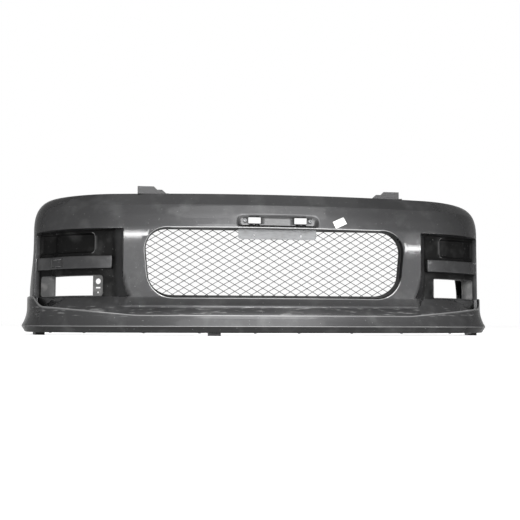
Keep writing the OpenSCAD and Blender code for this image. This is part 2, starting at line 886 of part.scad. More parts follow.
module plate_bracket() {
    color(sheet_colour)
        placed()
            difference() {
                union() {
                    from_front(bracket_depth, bracket_depth + bracket_t)
                        union() {
                            band(-bracket_half, bracket_half, z_open1 - bracket_drop + bracket_corner, z_open1);
                            band(-bracket_half + bracket_corner, bracket_half - bracket_corner,
                                 z_open1 - bracket_drop, z_open1);
                            for (s = [-1, 1])
                                translate([s * (bracket_half - bracket_corner), z_open1 - bracket_drop + bracket_corner])
                                    circle(bracket_corner, $fn = small_fn);
                        }
                    translate([-bracket_half, bracket_depth, z_open1 - bracket_t])
                        cube([2 * bracket_half, bracket_flange, bracket_t]);
                    translate([-bracket_half + bracket_corner, bracket_depth, z_open1 - bracket_drop])
                        cube([2 * (bracket_half - bracket_corner), bracket_fold, bracket_t]);
                }
                for (s = [-1, 1])
                    translate([s * bracket_hole_x, bracket_depth - bracket_t, z_open1 - bracket_hole_drop])
                        rod_back(bracket_hole_r, 3 * bracket_t);
                for (x = plate_rivet_x)
                    translate([x, plate_rivet_y, z_open1 - 2 * bracket_t])
                        rod(rivet_r + fit, 3 * bracket_t);
            }
}

module plate_bracket_rivets() {
    color(steel_colour)
        placed()
            for (x = plate_rivet_x)
                translate([x, plate_rivet_y, z_open1 - bracket_t])
                    headed(rivet_r, bracket_t + wall, 2 * rivet_r, rivet_r);
}

module plate_nuts() {
    color(nylon_colour)
        placed()
            for (s = [-1, 1])
                translate([s * plate_nut_x, seat_depth, plate_nut_z])
                    difference() {
                        union() {
                            rod_back(plate_nut_r, 4 * wall);
                            translate([0, -wall / 2, 0])
                                rod_back(plate_nut_flange, wall / 2);
                        }
                        translate([0, -wall, 0])
                            rod_back(plate_nut_bore, 6 * wall);
                    }
}

// Fog lamp bracket: a curved frame behind the lamp opening, with an ear at each end
fog_face = -floor_in - wall;
fog_outer = recess_end - fit / (corner_radius - floor_in) * to_degrees;
slot_half_turn = 1.6;
slot_half_h = 2.5;

module fog_bracket(ear_turn) {
    ear_mid = (fog_start + ear_end) / 2;
    difference() {
        along_corner(corner_start + wall_turn, fog_outer)
            band(fog_face - fog_bracket_t, fog_face, z_fog0 - fog_bracket_rim, z_fog1 + fog_bracket_rim);
        along_corner(ear_turn, outer_ear)
            band(fog_face - 2 * fog_bracket_t, fog_face + fog_bracket_t, z_fog0 + wall, z_fog1 - wall);
        if (ear_turn == ear_end) {
            at_corner(ear_mid, fog_face + fog_bracket_t, z_fog1 - fog_h * 0.3)
                rotate([-90, 0, 0])
                    rod(aim_hole_r, 3 * fog_bracket_t);
            at_corner(ear_mid, fog_face + fog_bracket_t, z_fog0 + fog_h * 0.18)
                rotate([-90, 0, 0])
                    rod(lamp_hole_r, 3 * fog_bracket_t);
            along_corner(ear_mid - slot_half_turn, ear_mid + slot_half_turn)
                band(fog_face - 2 * fog_bracket_t, fog_face + fog_bracket_t,
                     z_fog0 + fog_h * 0.4 - slot_half_h, z_fog0 + fog_h * 0.4 + slot_half_h);
        }
        for (p = bracket_screw_places)
            at_corner(p[0], fog_face + fog_bracket_t, p[1])
                rotate([-90, 0, 0])
                    rod(bracket_screw_r + fit, 3 * fog_bracket_t);
    }
}

module fog_bracket_left() {
    color(black_colour)
        placed()
            mirror([1, 0, 0])
                fog_bracket(ear_end);
}

module fog_bracket_right() {
    color(black_colour)
        placed()
            fog_bracket(stub_end);
}

// The flat heads stand a little off the bracket's curved back
module fog_bracket_screws() {
    color(steel_colour)
        placed()
            both_sides()
                for (p = bracket_screw_places)
                    at_corner(p[0], fog_face - fog_bracket_t - fit / 2, p[1])
                        rotate([90, 0, 0])
                            headed(bracket_screw_r, fog_bracket_t + wall, 2 * bracket_screw_r, 1.2 * bracket_screw_r);
}

// Upper bracket: a base plate on the top return and a stepped upright
module upper_bracket() {
    z0 = z_top + upper_t;
    difference() {
        union() {
            translate([upper_x0, upper_depth - upper_base + upper_t, z_top])
                cube([upper_x1 - upper_x0, upper_base, upper_t]);
            from_front(upper_depth, upper_depth + upper_t)
                polygon([[upper_x0, z_top], [upper_x1, z_top], [upper_x1, z_top + upper_h],
                         [upper_step_x, z_top + upper_h],
                         [upper_step_x - upper_h + upper_low_h, z_top + upper_low_h],
                         [upper_x0 + upper_low_h, z_top + upper_low_h], [upper_x0, z0]]);
        }
        upper_bolt_place()
            translate([0, 0, -upper_t])
                rod(upper_hole_r, 3 * upper_t);
        upper_rivet_places()
            translate([0, 0, -upper_t])
                rod(rivet_r + fit, 3 * upper_t);
    }
}

module upper_bracket_left() {
    color(paint_colour)
        placed()
            mirror([1, 0, 0])
                upper_bracket();
}

module upper_bracket_right() {
    color(paint_colour)
        placed()
            upper_bracket();
}

module upper_bracket_rivets() {
    color(steel_colour)
        placed()
            both_sides()
                upper_rivet_places()
                    translate([0, 0, -wall])
                        headed(rivet_r, wall + upper_t, 2 * rivet_r, rivet_r);
}

// Access cover: a curved flap on two hinge stubs, with a catch at its free edge
module access_cover() {
    catch_turn = wall / access_r * to_degrees;
    color(paint_colour)
        placed()
            mirror([1, 0, 0]) {
                along_corner(access_turn0, access_turn1)
                    band(-bar_in - access_t, -bar_in, z_access - access_h / 2, z_access + access_h / 2);
                along_corner(access_turn0 + catch_turn, access_turn0 + 2 * catch_turn)
                    band(-bar_in - access_frame, -bar_in - access_t / 2, z_access - access_h / 4, z_access + access_h / 4);
                at_corner(hinge_turn, -bar_in - access_t / 2, z_access - access_h / 2 - stub_l)
                    rod(stub_r, access_h + 2 * stub_l);
            }
}

module lip_screws() {
    color(steel_colour)
        placed()
            lip_screw_places()
                headed(lip_screw_r, lip_wall + 3 * wall, 2 * lip_screw_r, lip_screw_r);
}

// Spring nuts on the cover's bottom flange
module lip_nuts() {
    color(steel_colour)
        placed()
            lip_screw_places()
                translate([0, 0, lip_wall + wall])
                    difference() {
                        union() {
                            translate([-3 * lip_screw_r, -3 * lip_screw_r, 0])
                                cube([6 * lip_screw_r, 6 * lip_screw_r, wall / 2]);
                            rod(1.8 * lip_screw_r, wall);
                        }
                        translate([0, 0, -wall])
                            rod(lip_screw_r + fit, 4 * wall);
                    }
}

module foot_end() {
    difference() {
        along_corner(foot_start, corner_end)
            band(-foot_in, -foot_out, 0, foot_h);
        at_corner(foot_turn, foot_mid, -wall)
            rod(lip_screw_r + fit, foot_h + 2 * wall);
        at_corner(foot_turn, foot_mid, -wall)
            rod(2.4 * lip_screw_r, foot_h / 2 + wall);
    }
}

module foot_left() {
    color(black_colour)
        placed()
            mirror([1, 0, 0])
                foot_end();
}

module foot_right() {
    color(black_colour)
        placed()
            foot_end();
}

module centre_foot() {
    turn0 = front_turn(-centre_foot_x - centre_foot_w / 2);
    turn1 = front_turn(-centre_foot_x + centre_foot_w / 2);
    color(black_colour)
        placed()
            difference() {
                along_front(turn0, turn1)
                    band(-foot_in, -foot_out + lip_stand, 0, foot_h);
                at_front(front_turn(-centre_foot_x), foot_mid, -wall)
                    rod(lip_screw_r + fit, foot_h + 2 * wall);
                at_front(front_turn(-centre_foot_x), foot_mid, -wall)
                    rod(2.4 * lip_screw_r, foot_h / 2 + wall);
            }
}

module foot_screws() {
    color(steel_colour)
        placed()
            foot_screw_places()
                translate([0, 0, -foot_h / 2])
                    headed(lip_screw_r, foot_h / 2 + lip_wall + 2 * wall, 2 * lip_screw_r, lip_screw_r);
}

// Spring nuts on the arch flanges
module arch_nuts() {
    color(steel_colour)
        placed()
            both_sides()
                translate([arch_nut_x, arch_y - arch_radius - wall, arch_z])
                    rotate([90, 0, 0])
                        difference() {
                            union() {
                                translate([-3 * arch_nut_bore, -3 * arch_nut_bore, 0])
                                    cube([6 * arch_nut_bore, 6 * arch_nut_bore, wall / 2]);
                                rod(1.8 * arch_nut_bore, 2 * wall);
                            }
                            translate([0, 0, -wall])
                                rod(arch_nut_bore, 4 * wall);
                        }
}

bumper_cover();
lip_spoiler();
grille_mesh();
mesh_retainer();
mesh_screws();
plate_bracket();
plate_bracket_rivets();
plate_nuts();
fog_bracket_left();
fog_bracket_right();
fog_bracket_screws();
upper_bracket_left();
upper_bracket_right();
upper_bracket_rivets();
access_cover();
lip_screws();
lip_nuts();
foot_left();
foot_right();
centre_foot();
foot_screws();
arch_nuts();
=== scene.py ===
"""Looks of a car's front bumper cover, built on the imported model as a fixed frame.

Shapes are worked out in millimetres and become metres when their mesh is made. Turns that a field gives are
in degrees. The plan line runs round the cover: s is the length along it from the middle, to the right, e is
the distance out from it, and z is the height. Depths are measured back from the front's middle, and those
of the recesses and the grille's rim in from the skin.
"""

from __future__ import annotations

import json
import logging
import math
from collections.abc import Iterable, Sequence
from dataclasses import dataclass, field, replace
from enum import Enum, IntEnum

import bmesh
import bpy
import numpy as np
from mathutils import Matrix, Vector
from mathutils.geometry import delaunay_2d_cdt

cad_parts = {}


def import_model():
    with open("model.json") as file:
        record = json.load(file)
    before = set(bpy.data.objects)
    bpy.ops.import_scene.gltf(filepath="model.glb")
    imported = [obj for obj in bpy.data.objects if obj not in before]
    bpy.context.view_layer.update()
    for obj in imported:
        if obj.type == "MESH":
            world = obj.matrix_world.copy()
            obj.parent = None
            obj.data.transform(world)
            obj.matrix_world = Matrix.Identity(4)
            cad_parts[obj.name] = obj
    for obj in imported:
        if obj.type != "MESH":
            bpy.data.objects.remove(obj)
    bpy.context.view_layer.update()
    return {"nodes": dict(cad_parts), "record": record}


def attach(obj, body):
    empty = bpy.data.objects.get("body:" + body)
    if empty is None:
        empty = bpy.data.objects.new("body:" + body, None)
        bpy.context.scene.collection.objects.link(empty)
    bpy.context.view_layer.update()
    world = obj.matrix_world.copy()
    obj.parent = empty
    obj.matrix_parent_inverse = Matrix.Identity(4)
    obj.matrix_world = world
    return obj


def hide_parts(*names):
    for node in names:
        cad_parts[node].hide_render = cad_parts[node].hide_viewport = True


LOG = logging.getLogger("bumper")
MM = 0.001
SHARP = 40.0
SEED = 7
LAMP_BRACKETS = ("fog_bracket_left", "fog_bracket_right")
Array = np.ndarray
Pair = tuple[float, float]
Triple = tuple[float, float, float]
Numbers = tuple[float, ...]
Pairs = tuple[Pair, ...]
Triples = tuple[Triple, ...]
Colour = Triple
Material = bpy.types.Material
Piece = bpy.types.Object
Socket = bpy.types.NodeSocket


class Body(Enum):
    """Bodies of the frame that pieces ride on."""

    COVER = "cover"
    FLAP = "access_cover"


class Slot(Enum):
    """Material slots of the record."""

    PAINT = "paint"
    BLACK = "black"
    SHEET = "sheet"
    DARK_SHEET = "dark_sheet"
    STEEL = "steel"
    NYLON = "nylon"


# Plain geometry


def smooth_min(a: Array, b: Array | float, width: float) -> Array:
    """Smaller of two heights, rounded where they differ by less than a width."""
    share = np.clip(0.5 + 0.5 * (b - a) / width, 0, 1)
    return b - (b - a) * share - width * share * (1 - share)


def smooth_step(value: Array, low: float, high: float) -> Array:
    """Soft rise from 0 at low to 1 at high."""
    share = np.clip((value - low) / (high - low), 0, 1)
    return share * share * (3 - 2 * share)


def inside_box(s: Array, z: Array, box: Sequence[float], radius: float) -> Array:
    """Distance inside a rectangle with rounded corners, negative outside it.

    Args:
        s: First coordinate of the points.
        z: Second coordinate of the points.
        box: Low and high s, then low and high z.
        radius: Radius of the corners.

    Returns:
        The distance of each point to the nearest side.
    """
    s0, s1, z0, z1 = box
    across = np.abs(s - (s0 + s1) / 2) - (s1 - s0) / 2 + radius
    along = np.abs(z - (z0 + z1) / 2) - (z1 - z0) / 2 + radius
    corner = np.hypot(np.maximum(across, 0), np.maximum(along, 0))
    return radius - corner - np.minimum(np.maximum(across, along), 0)


def rounded_line(corners: Sequence[Triple], steps: int = 6) -> Array:
    """Points of an open line whose inner corners are rounded.

    Args:
        corners: Two coordinates and a radius of each corner. The ends have radius 0.
        steps: Steps round each corner.

    Returns:
        The points, one in each row.
    """
    points = [np.array(corners[0][:2])]
    for before, here, after in zip(corners, corners[1:], corners[2:]):
        middle = np.array(here[:2])
        to_before = np.array(before[:2]) - middle
        to_after = np.array(after[:2]) - middle
        to_before = to_before / np.linalg.norm(to_before)
        to_after = to_after / np.linalg.norm(to_after)
        half = math.acos(float(np.clip(to_before @ to_after, -1, 1))) / 2
        halfway = (to_before + to_after) / np.linalg.norm(to_before + to_after)
        centre = middle + halfway * here[2] / math.sin(half)
        start = middle + to_before * here[2] / math.tan(half) - centre
        end = middle + to_after * here[2] / math.tan(half) - centre
        turn = math.pi - 2 * half
        for k in range(steps + 1):
            share = k / steps
            spot = math.sin((1 - share) * turn) * start + math.sin(share * turn) * end
            points.append(centre + spot / math.sin(turn))
    points.append(np.array(corners[-1][:2]))
    return np.array(points)


def rounded_loop(corners: Sequence[Triple], spacing: float, steps: int = 6) -> Array:
    """Points of a closed loop with rounded corners and straight sides cut into equal steps.

    Args:
        corners: Two coordinates and a radius of each corner.
        spacing: About the longest step on a straight side.
        steps: Steps round each corner.

    Returns:
        The points, one in each row.
    """
    around = [corners[-1], *corners, corners[0]]
    line = rounded_line(around, steps)[1:-1]
    points = []
    count = len(corners) * (steps + 1)
    for i in range(count):
        here = line[i]
        following = line[(i + 1) % count]
        points.append(here)
        if (i + 1) % (steps + 1) == 0:
            side = i // (steps + 1)
            a = np.array(corners[side][:2])
            b = np.array(corners[(side + 1) % len(corners)][:2])
            cuts = max(1, round(np.linalg.norm(b - a) / spacing))
            points.extend(here + (following - here) * k / cuts for k in range(1, cuts))
    return np.array(points)


def box_loop(box: Sequence[float], radius: float, spacing: float, steps: int = 6) -> Array:
    """Loop round a rectangle with rounded corners.

    Args:
        box: Low and high of the first coordinate, then of the second.
        radius: Radius of the corners.
        spacing: About the longest step on a straight side.
        steps: Steps round each corner.

    Returns:
        The points, one in each row.
    """
    s0, s1, z0, z1 = box
    corners = [(s1, z1, radius), (s0, z1, radius), (s0, z0, radius), (s1, z0, radius)]
    return rounded_loop(corners, spacing, steps)


def is_inside(points: Array, loop: Array) -> Array:
    """Finds the points that lie inside a closed loop.

    Args:
        points: Points, one in each row.
        loop: Points of the loop, one in each row.

    Returns:
        True for each point inside.
    """
    result = np.zeros(len(points), dtype=bool)
    for a, b in zip(loop, np.roll(loop, -1, axis=0)):
        crosses = (a[1] > points[:, 1]) != (b[1] > points[:, 1])
        rise = b[1] - a[1] if b[1] != a[1] else 1.0
        reach = a[0] + (points[:, 1] - a[1]) / rise * (b[0] - a[0])
        result ^= crosses & (points[:, 0] < reach)
    return result


def loop_distance(points: Array, loop: Array) -> Array:
    """Distance of each point from the nearest side of a closed loop.

    Args:
        points: Points, one in each row.
        loop: Points of the loop, one in each row.

    Returns:
        The distances.
    """
    nearest = np.full(len(points), np.inf)
    for a, b in zip(loop, np.roll(loop, -1, axis=0)):
        side = b - a
        share = np.clip((points - a) @ side / (side @ side), 0, 1)
        nearest = np.minimum(nearest, np.linalg.norm(points - a - share[:, None] * side, axis=1))
    return nearest


def grid_lines(marks: Iterable[float], spacing: float, closest: float = 0.2) -> Array:
    """Places of grid lines: every mark, and more lines between marks that are far apart.

    Args:
        marks: Places that need a line.
        spacing: Widest distance between two lines.
        closest: Marks nearer than this count as one.

    Returns:
        The places in order.
    """
    ordered = sorted(marks)
    kept = [ordered[0]]
    for mark in ordered[1:]:
        if mark - kept[-1] > closest:
            kept.append(mark)
    places = []
    for a, b in zip(kept, kept[1:]):
        count = max(1, math.ceil((b - a) / spacing))
        places.extend(a + (b - a) * k / count for k in range(count))
    places.append(kept[-1])
    return np.array(places)


def grid_faces(rows: int, columns: int) -> list[tuple[int, int, int, int]]:
    """Quads of a grid whose points are numbered row by row."""
    corners = [r * columns + c for r in range(rows - 1) for c in range(columns - 1)]
    return [(k, k + 1, k + columns + 1, k + columns) for k in corners]


def ring_faces(near: Sequence[int], far: Sequence[int]) -> list[list[int]]:
    """Quads between two closed rings with the same count of points."""
    count = len(near)
    return [[near[k], near[(k + 1) % count], far[(k + 1) % count], far[k]] for k in range(count)]


def smooth_edges(mesh: bpy.types.Mesh, angle: float) -> None:
    """Shades a mesh smooth, apart from edges that turn by more than an angle in degrees."""
    mesh.polygons.foreach_set("use_smooth", [True] * len(mesh.polygons))
    mesh.set_sharp_from_angle(angle=math.radians(angle))


def mesh_piece(name: str, points: Array, faces: Sequence[Sequence[int]], sharp: float = SHARP) -> Piece:
    """A new object from points in millimetres.

    Args:
        name: Name of the object and its mesh.
        points: Points, one in each row.
        faces: Point numbers of each face.
        sharp: Angle in degrees above which an edge stays sharp.

    Returns:
        The object, linked to the scene.
    """
    mesh = bpy.data.meshes.new(name)
    mesh.from_pydata([Vector(p) * MM for p in points], [], [list(f) for f in faces])
    mesh.validate()
    smooth_edges(mesh, sharp)
    piece = bpy.data.objects.new(name, mesh)
    bpy.context.scene.collection.objects.link(piece)
    return piece


def carry(piece: Piece, name: str, values: Array) -> None:
    """Lets a mesh carry a value on each of its points, under a name."""
    numbers = np.asarray(values, dtype=np.float32)
    piece.data.attributes.new(name, "FLOAT", "POINT").data.foreach_set("value", numbers)


def thicken(piece: Piece, thickness: float, finish_step: int = 0) -> None:
    """Gives a sheet a thickness on its inner side.

    Args:
        piece: The sheet.
        thickness: Thickness in millimetres.
        finish_step: Step in the piece's list of finishes from a face to the one behind it.
    """
    solidify = piece.modifiers.new("wall", "SOLIDIFY")
    solidify.thickness = thickness * MM
    solidify.offset = -1.0
    solidify.material_offset = finish_step


def face_outward(piece: Piece) -> None:
    """Makes a sheet's faces agree, with those of its front looking forward.

    Args:
        piece: The sheet.
    """
    sheet = bmesh.new()
    sheet.from_mesh(piece.data)
    bmesh.ops.recalc_face_normals(sheet, faces=sheet.faces)
    front = sum(face.normal.y * face.calc_area() for face in sheet.faces)
    if front > 0:
        bmesh.ops.reverse_faces(sheet, faces=sheet.faces)
    sheet.to_mesh(piece.data)
    sheet.free()


# Finishes


@dataclass(frozen=True)
class Pattern:
    """Noise on the object's own coordinates, and the share that it becomes between two of its levels.

    Attributes:
        scale: Waves in each metre.
        detail: Number of finer layers.
        low: Level that becomes 0.
        high: Level that becomes the largest share.
        most: The largest share.
        stretch: Factor on each axis.
        spin: Turn about each axis, in degrees.
    """

    scale: float
    detail: float
    low: float = 0.3
    high: float = 0.7
    most: float = 1.0
    stretch: Triple = (1, 1, 1)
    spin: Triple = (0, 0, 0)


def seen_share(tree: bpy.types.NodeTree) -> Socket:
    """Adds a value that is 1 where something is seen or mirrored, and 0 where it only gives light.

    Args:
        tree: Node tree of a material or the world.

    Returns:
        The value.
    """
    path = tree.nodes.new("ShaderNodeLightPath")
    seen = path.outputs["Is Camera Ray"]
    for name in ("Is Glossy Ray", "Is Transmission Ray"):
        either = tree.nodes.new("ShaderNodeMath")
        either.operation = "MAXIMUM"
        tree.links.new(seen, either.inputs[0])
        tree.links.new(path.outputs[name], either.inputs[1])
        seen = either.outputs[0]
    return seen


class NodeBoard:
    """Node tree of one material, with short calls that add and join nodes."""

    def __init__(self, name: str) -> None:
        """Starts an empty material with object coordinates.

        Args:
            name: Name of the material.
        """
        self.material = bpy.data.materials.new(name)
        self.material.use_nodes = True
        self.tree = self.material.node_tree
        self.tree.nodes.clear()
        self.output = self.add("ShaderNodeOutputMaterial")
        self.place = self.add("ShaderNodeTexCoord").outputs["Object"]

    def add(self, kind: str, **settings: object) -> bpy.types.Node:
        """Adds a node.

        Args:
            kind: Kind of the node.
            **settings: Its own settings, by name.

        Returns:
            The node.
        """
        node = self.tree.nodes.new(kind)
        for key, value in settings.items():
            setattr(node, key, value)
        return node

    def join(self, source: Socket, target: Socket) -> None:
        """Links an output to an input."""
        self.tree.links.new(source, target)

    def noise(self, pattern: Pattern) -> Socket:
        """Adds the noise of a pattern.

        Args:
            pattern: The pattern.

        Returns:
            The noise's value.
        """
        mapping = self.add("ShaderNodeMapping")
        mapping.inputs["Scale"].default_value = pattern.stretch
        mapping.inputs["Rotation"].default_value = [math.radians(a) for a in pattern.spin]
        self.join(self.place, mapping.inputs["Vector"])
        noise = self.add("ShaderNodeTexNoise")
        noise.inputs["Scale"].default_value = pattern.scale
        noise.inputs["Detail"].default_value = pattern.detail
        self.join(mapping.outputs["Vector"], noise.inputs["Vector"])
        return noise.outputs["Fac"]

    def ramp(self, value: Socket, low: float, high: float, bottom: float, top: float) -> Socket:
        """Maps a value from low and high to bottom and top, held at both ends.

        Args:
            value: Value to map.
            low: Value that becomes bottom.
            high: Value that becomes top.
            bottom: First result.
            top: Last result.

        Returns:
            The mapped value.
        """
        node = self.add("ShaderNodeMapRange")
        for name, number in zip(("From Min", "From Max", "To Min", "To Max"), (low, high, bottom, top)):
            node.inputs[name].default_value = number
        self.join(value, node.inputs["Value"])
        return node.outputs["Result"]

    def cut(self, noise: Socket, pattern: Pattern) -> Socket:
        """Share that a noise becomes between its pattern's two levels."""
        return self.ramp(noise, pattern.low, pattern.high, 0, pattern.most)

    def share(self, pattern: Pattern) -> Socket:
        """Adds the noise of a pattern and gives its share."""
        return self.cut(self.noise(pattern), pattern)

    def math(self, operation: str, a: Socket, b: Socket) -> Socket:
        """Joins two values.

        Args:
            operation: Name of the operation, such as a sum or a product.
            a: First value.
            b: Second value.

        Returns:
            The result.
        """
        node = self.add("ShaderNodeMath", operation=operation)
        self.join(a, node.inputs[0])
        self.join(b, node.inputs[1])
        return node.outputs[0]

    def tint(self, share: Socket, low: Colour, high: Colour) -> Socket:
        """Colour between two ends of a ramp.

        Args:
            share: Place on the ramp, from 0 to 1.
            low: Colour at 0.
            high: Colour at 1.

        Returns:
            The colour.
        """
        node = self.add("ShaderNodeValToRGB")
        node.color_ramp.elements[0].color = (*low, 1)
        node.color_ramp.elements[1].color = (*high, 1)
        self.join(share, node.inputs["Fac"])
        return node.outputs["Color"]

    def cover(self, base: Socket, layer: Colour, share: Socket) -> Socket:
        """Lays a plain colour over another one.

        Args:
            base: Colour below.
            layer: Colour on top.
            share: How much of the layer shows.

        Returns:
            The mixed colour.
        """
        node = self.add("ShaderNodeMix", data_type="RGBA")
        colours = [i for i in node.inputs if i.type == "RGBA"]
        colours[1].default_value = (*layer, 1)
        self.join(share, node.inputs[0])
        self.join(base, colours[0])
        return next(o for o in node.outputs if o.type == "RGBA")

    def carried(self, name: str) -> Socket:
        """Value that the mesh carries under a name, 0 where it has none."""
        return self.add("ShaderNodeAttribute", attribute_name=name).outputs["Fac"]

    def height(self) -> Socket:
        """Adds the height above the floor.

        Returns:
            The height, in metres.
        """
        split = self.add("ShaderNodeSeparateXYZ")
        self.join(self.place, split.inputs[0])
        return split.outputs["Z"]

    def finish(self, colour: Socket, roughness: Socket, relief: Socket, relief_depth: float,
               constants: dict[str, float | Sequence[float]], glow: Socket | None = None) -> Material:
        """Ends the tree in a shader.

        Args:
            colour: Base colour.
            roughness: Roughness.
            relief: Height of the fine relief.
            relief_depth: Depth of that relief, in metres.
            constants: Numbers and colours that are the same all over, by input name.
            glow: Light of its own, where the surface gives any.

        Returns:
            The finished material.
        """
        shader = self.add("ShaderNodeBsdfPrincipled")
        for name, number in constants.items():
            shader.inputs[name].default_value = number
        bump = self.add("ShaderNodeBump")
        bump.inputs["Strength"].default_value = 1.0
        bump.inputs["Distance"].default_value = relief_depth
        self.join(relief, bump.inputs["Height"])
        self.join(bump.outputs["Normal"], shader.inputs["Normal"])
        self.join(colour, shader.inputs["Base Color"])
        self.join(roughness, shader.inputs["Roughness"])
        if glow:
            self.join(glow, shader.inputs["Emission Strength"])
        self.join(shader.outputs["BSDF"], self.output.inputs["Surface"])
        return self.material


@dataclass(frozen=True)
class PaintFinish:
    """Dark metallic car paint under a clear coat, with dust, scuffs and specks from use, and with painted
    shade in the recesses and painted highlights on edges.

    Attributes:
        roughness: Roughness of clean and of fully worn paint.
        rough_wear: Wear at which the paint is fully rough.
        scuffed: Heights between which it is scuffed, in metres.
        scuffed_fade: Heights over which the scuffs begin and end, in metres.
    """

    name: str = "dark_metallic_paint"
    dark: Colour = (0.040, 0.040, 0.041)
    light: Colour = (0.058, 0.058, 0.059)
    # Painted shade: the colour that the recesses and the lip's underside are darkened towards.
    recess: Colour = (0.014, 0.014, 0.014)
    dust: Colour = (0.24, 0.24, 0.24)
    # Painted highlight on the grille's rim, the pockets' inner edges and the lip's edges, and a little pale
    # wear on the plate seat.
    rubbed: Colour = (0.36, 0.36, 0.36)
    metallic: float = 0.95
    edge_tint: float = 0.15
    coat: float = 0.2
    coat_roughness: float = 0.05
    roughness: Pair = (0.42, 0.65)
    rough_wear: float = 0.6
    scuffed: Pair = (0.072, 0.096)
    scuffed_fade: Pair = (0.012, 0.006)
    flakes: Pattern = Pattern(900, 2, 0.35, 0.65, 0.45)
    clouds: Pattern = Pattern(3.2, 3, most=0.55)
    film: Pattern = Pattern(14, 6, 0.50, 0.78, 0.16)
    streaks: Pattern = Pattern(24, 6, 0.56, 0.70, 0.75, (1, 1, 9), (0, 8, 0))
    specks: Pattern = Pattern(170, 1, 0.745, 0.775, 0.55)
    peel: Pattern = Pattern(260, 1)
    peel_depth: float = 0.00001

    def scuffs(self, board: NodeBoard) -> Socket:
        """Adds the scuffs, which lie between two heights.

        Args:
            board: Node tree of the material.

        Returns:
            Their share.
        """
        low, high = self.scuffed
        fade_in, fade_out = self.scuffed_fade
        above = board.ramp(board.height(), low - fade_in, low, 0, 1)
        below = board.ramp(board.height(), high, high + fade_out, 1, 0)
        return board.math("MULTIPLY", board.share(self.streaks), board.math("MULTIPLY", above, below))

    def material(self) -> Material:
        """Builds the node material.

        Returns:
            The material.
        """
        board = NodeBoard(self.name)
        sparkle = board.math("ADD", board.share(self.flakes), board.share(self.clouds))
        base = board.tint(sparkle, self.dark, self.light)
        # Painted shade, by the share that the mesh carries.
        base = board.cover(base, self.recess, board.carried("recess"))
        worn = board.math("MAXIMUM", board.share(self.film), self.scuffs(board))
        worn = board.math("MAXIMUM", worn, board.share(self.specks))
        # Painted highlights on edges, with a little pale wear on the plate seat, by the share that the mesh
        # carries.
        colour = board.cover(board.cover(base, self.dust, worn), self.rubbed, board.carried("rubbed"))
        rough = board.ramp(worn, 0, self.rough_wear, *self.roughness)
        constants = {"Metallic": self.metallic, "Specular Tint": (*[self.edge_tint] * 3, 1),
                     "Coat Weight": self.coat, "Coat Roughness": self.coat_roughness}
        return board.finish(colour, rough, board.noise(self.peel), self.peel_depth, constants)


@dataclass(frozen=True)
class GrainFinish:
    """Plastic, paper or a pale floor with soft clouds of tone, a fine grain and a little dust.

    Attributes:
        roughness: Roughness of the darkest and of the lightest clouds.
        lift: Light of its own where it is seen, which falls on nothing else.
    """

    name: str
    dark: Colour
    light: Colour
    roughness: Pair = (0.52, 0.7)
    shine: float = 0.4
    dust: Colour = (0.35, 0.34, 0.33)
    dust_share: float = 0.25
    clouds: Pattern = Pattern(12, 4)
    film: Pattern = Pattern(30, 5, 0.52, 0.75)
    grain: Pattern = Pattern(700, 2)
    grain_depth: float = 0.00005
    lift: float = 0.0

    def material(self) -> Material:
        """Builds the node material.

        Returns:
            The material.
        """
        board = NodeBoard(self.name)
        clouds = board.share(self.clouds)
        base = board.tint(clouds, self.dark, self.light)
        film = board.share(replace(self.film, most=self.dust_share))
        colour = board.cover(base, self.dust, film)
        rough = board.ramp(clouds, 0, 1, *self.roughness)
        glow = board.ramp(seen_share(board.tree), 0, 1, 0, self.lift) if self.lift else None
        constants = {"Specular IOR Level": self.shine}
        return board.finish(colour, rough, board.noise(self.grain), self.grain_depth, constants, glow)


@dataclass(frozen=True)
class MetalFinish:
    """Plated or coated sheet metal with faint brush lines and dull spots."""

    name: str
    dark: Colour
    light: Colour
    metallic: float = 1.0
    roughness: float = 0.38
    dull: Colour = (0.16, 0.15, 0.14)
    dull_rougher: float = 0.25
    lines: Pattern = Pattern(60, 3, stretch=(1, 6, 14))
    line_depth: float = 0.00003
    spots: Pattern = Pattern(45, 5, 0.56, 0.74, 0.3)

    def material(self) -> Material:
        """Builds the node material.

        Returns:
            The material.
        """
        board = NodeBoard(self.name)
        lines = board.noise(self.lines)
        base = board.tint(board.cut(lines, self.lines), self.dark, self.light)
        spots = board.share(self.spots)
        colour = board.cover(base, self.dull, spots)
        rough = board.ramp(spots, 0, self.spots.most, self.roughness, self.roughness + self.dull_rougher)
        return board.finish(colour, rough, lines, self.line_depth, {"Metallic": self.metallic})


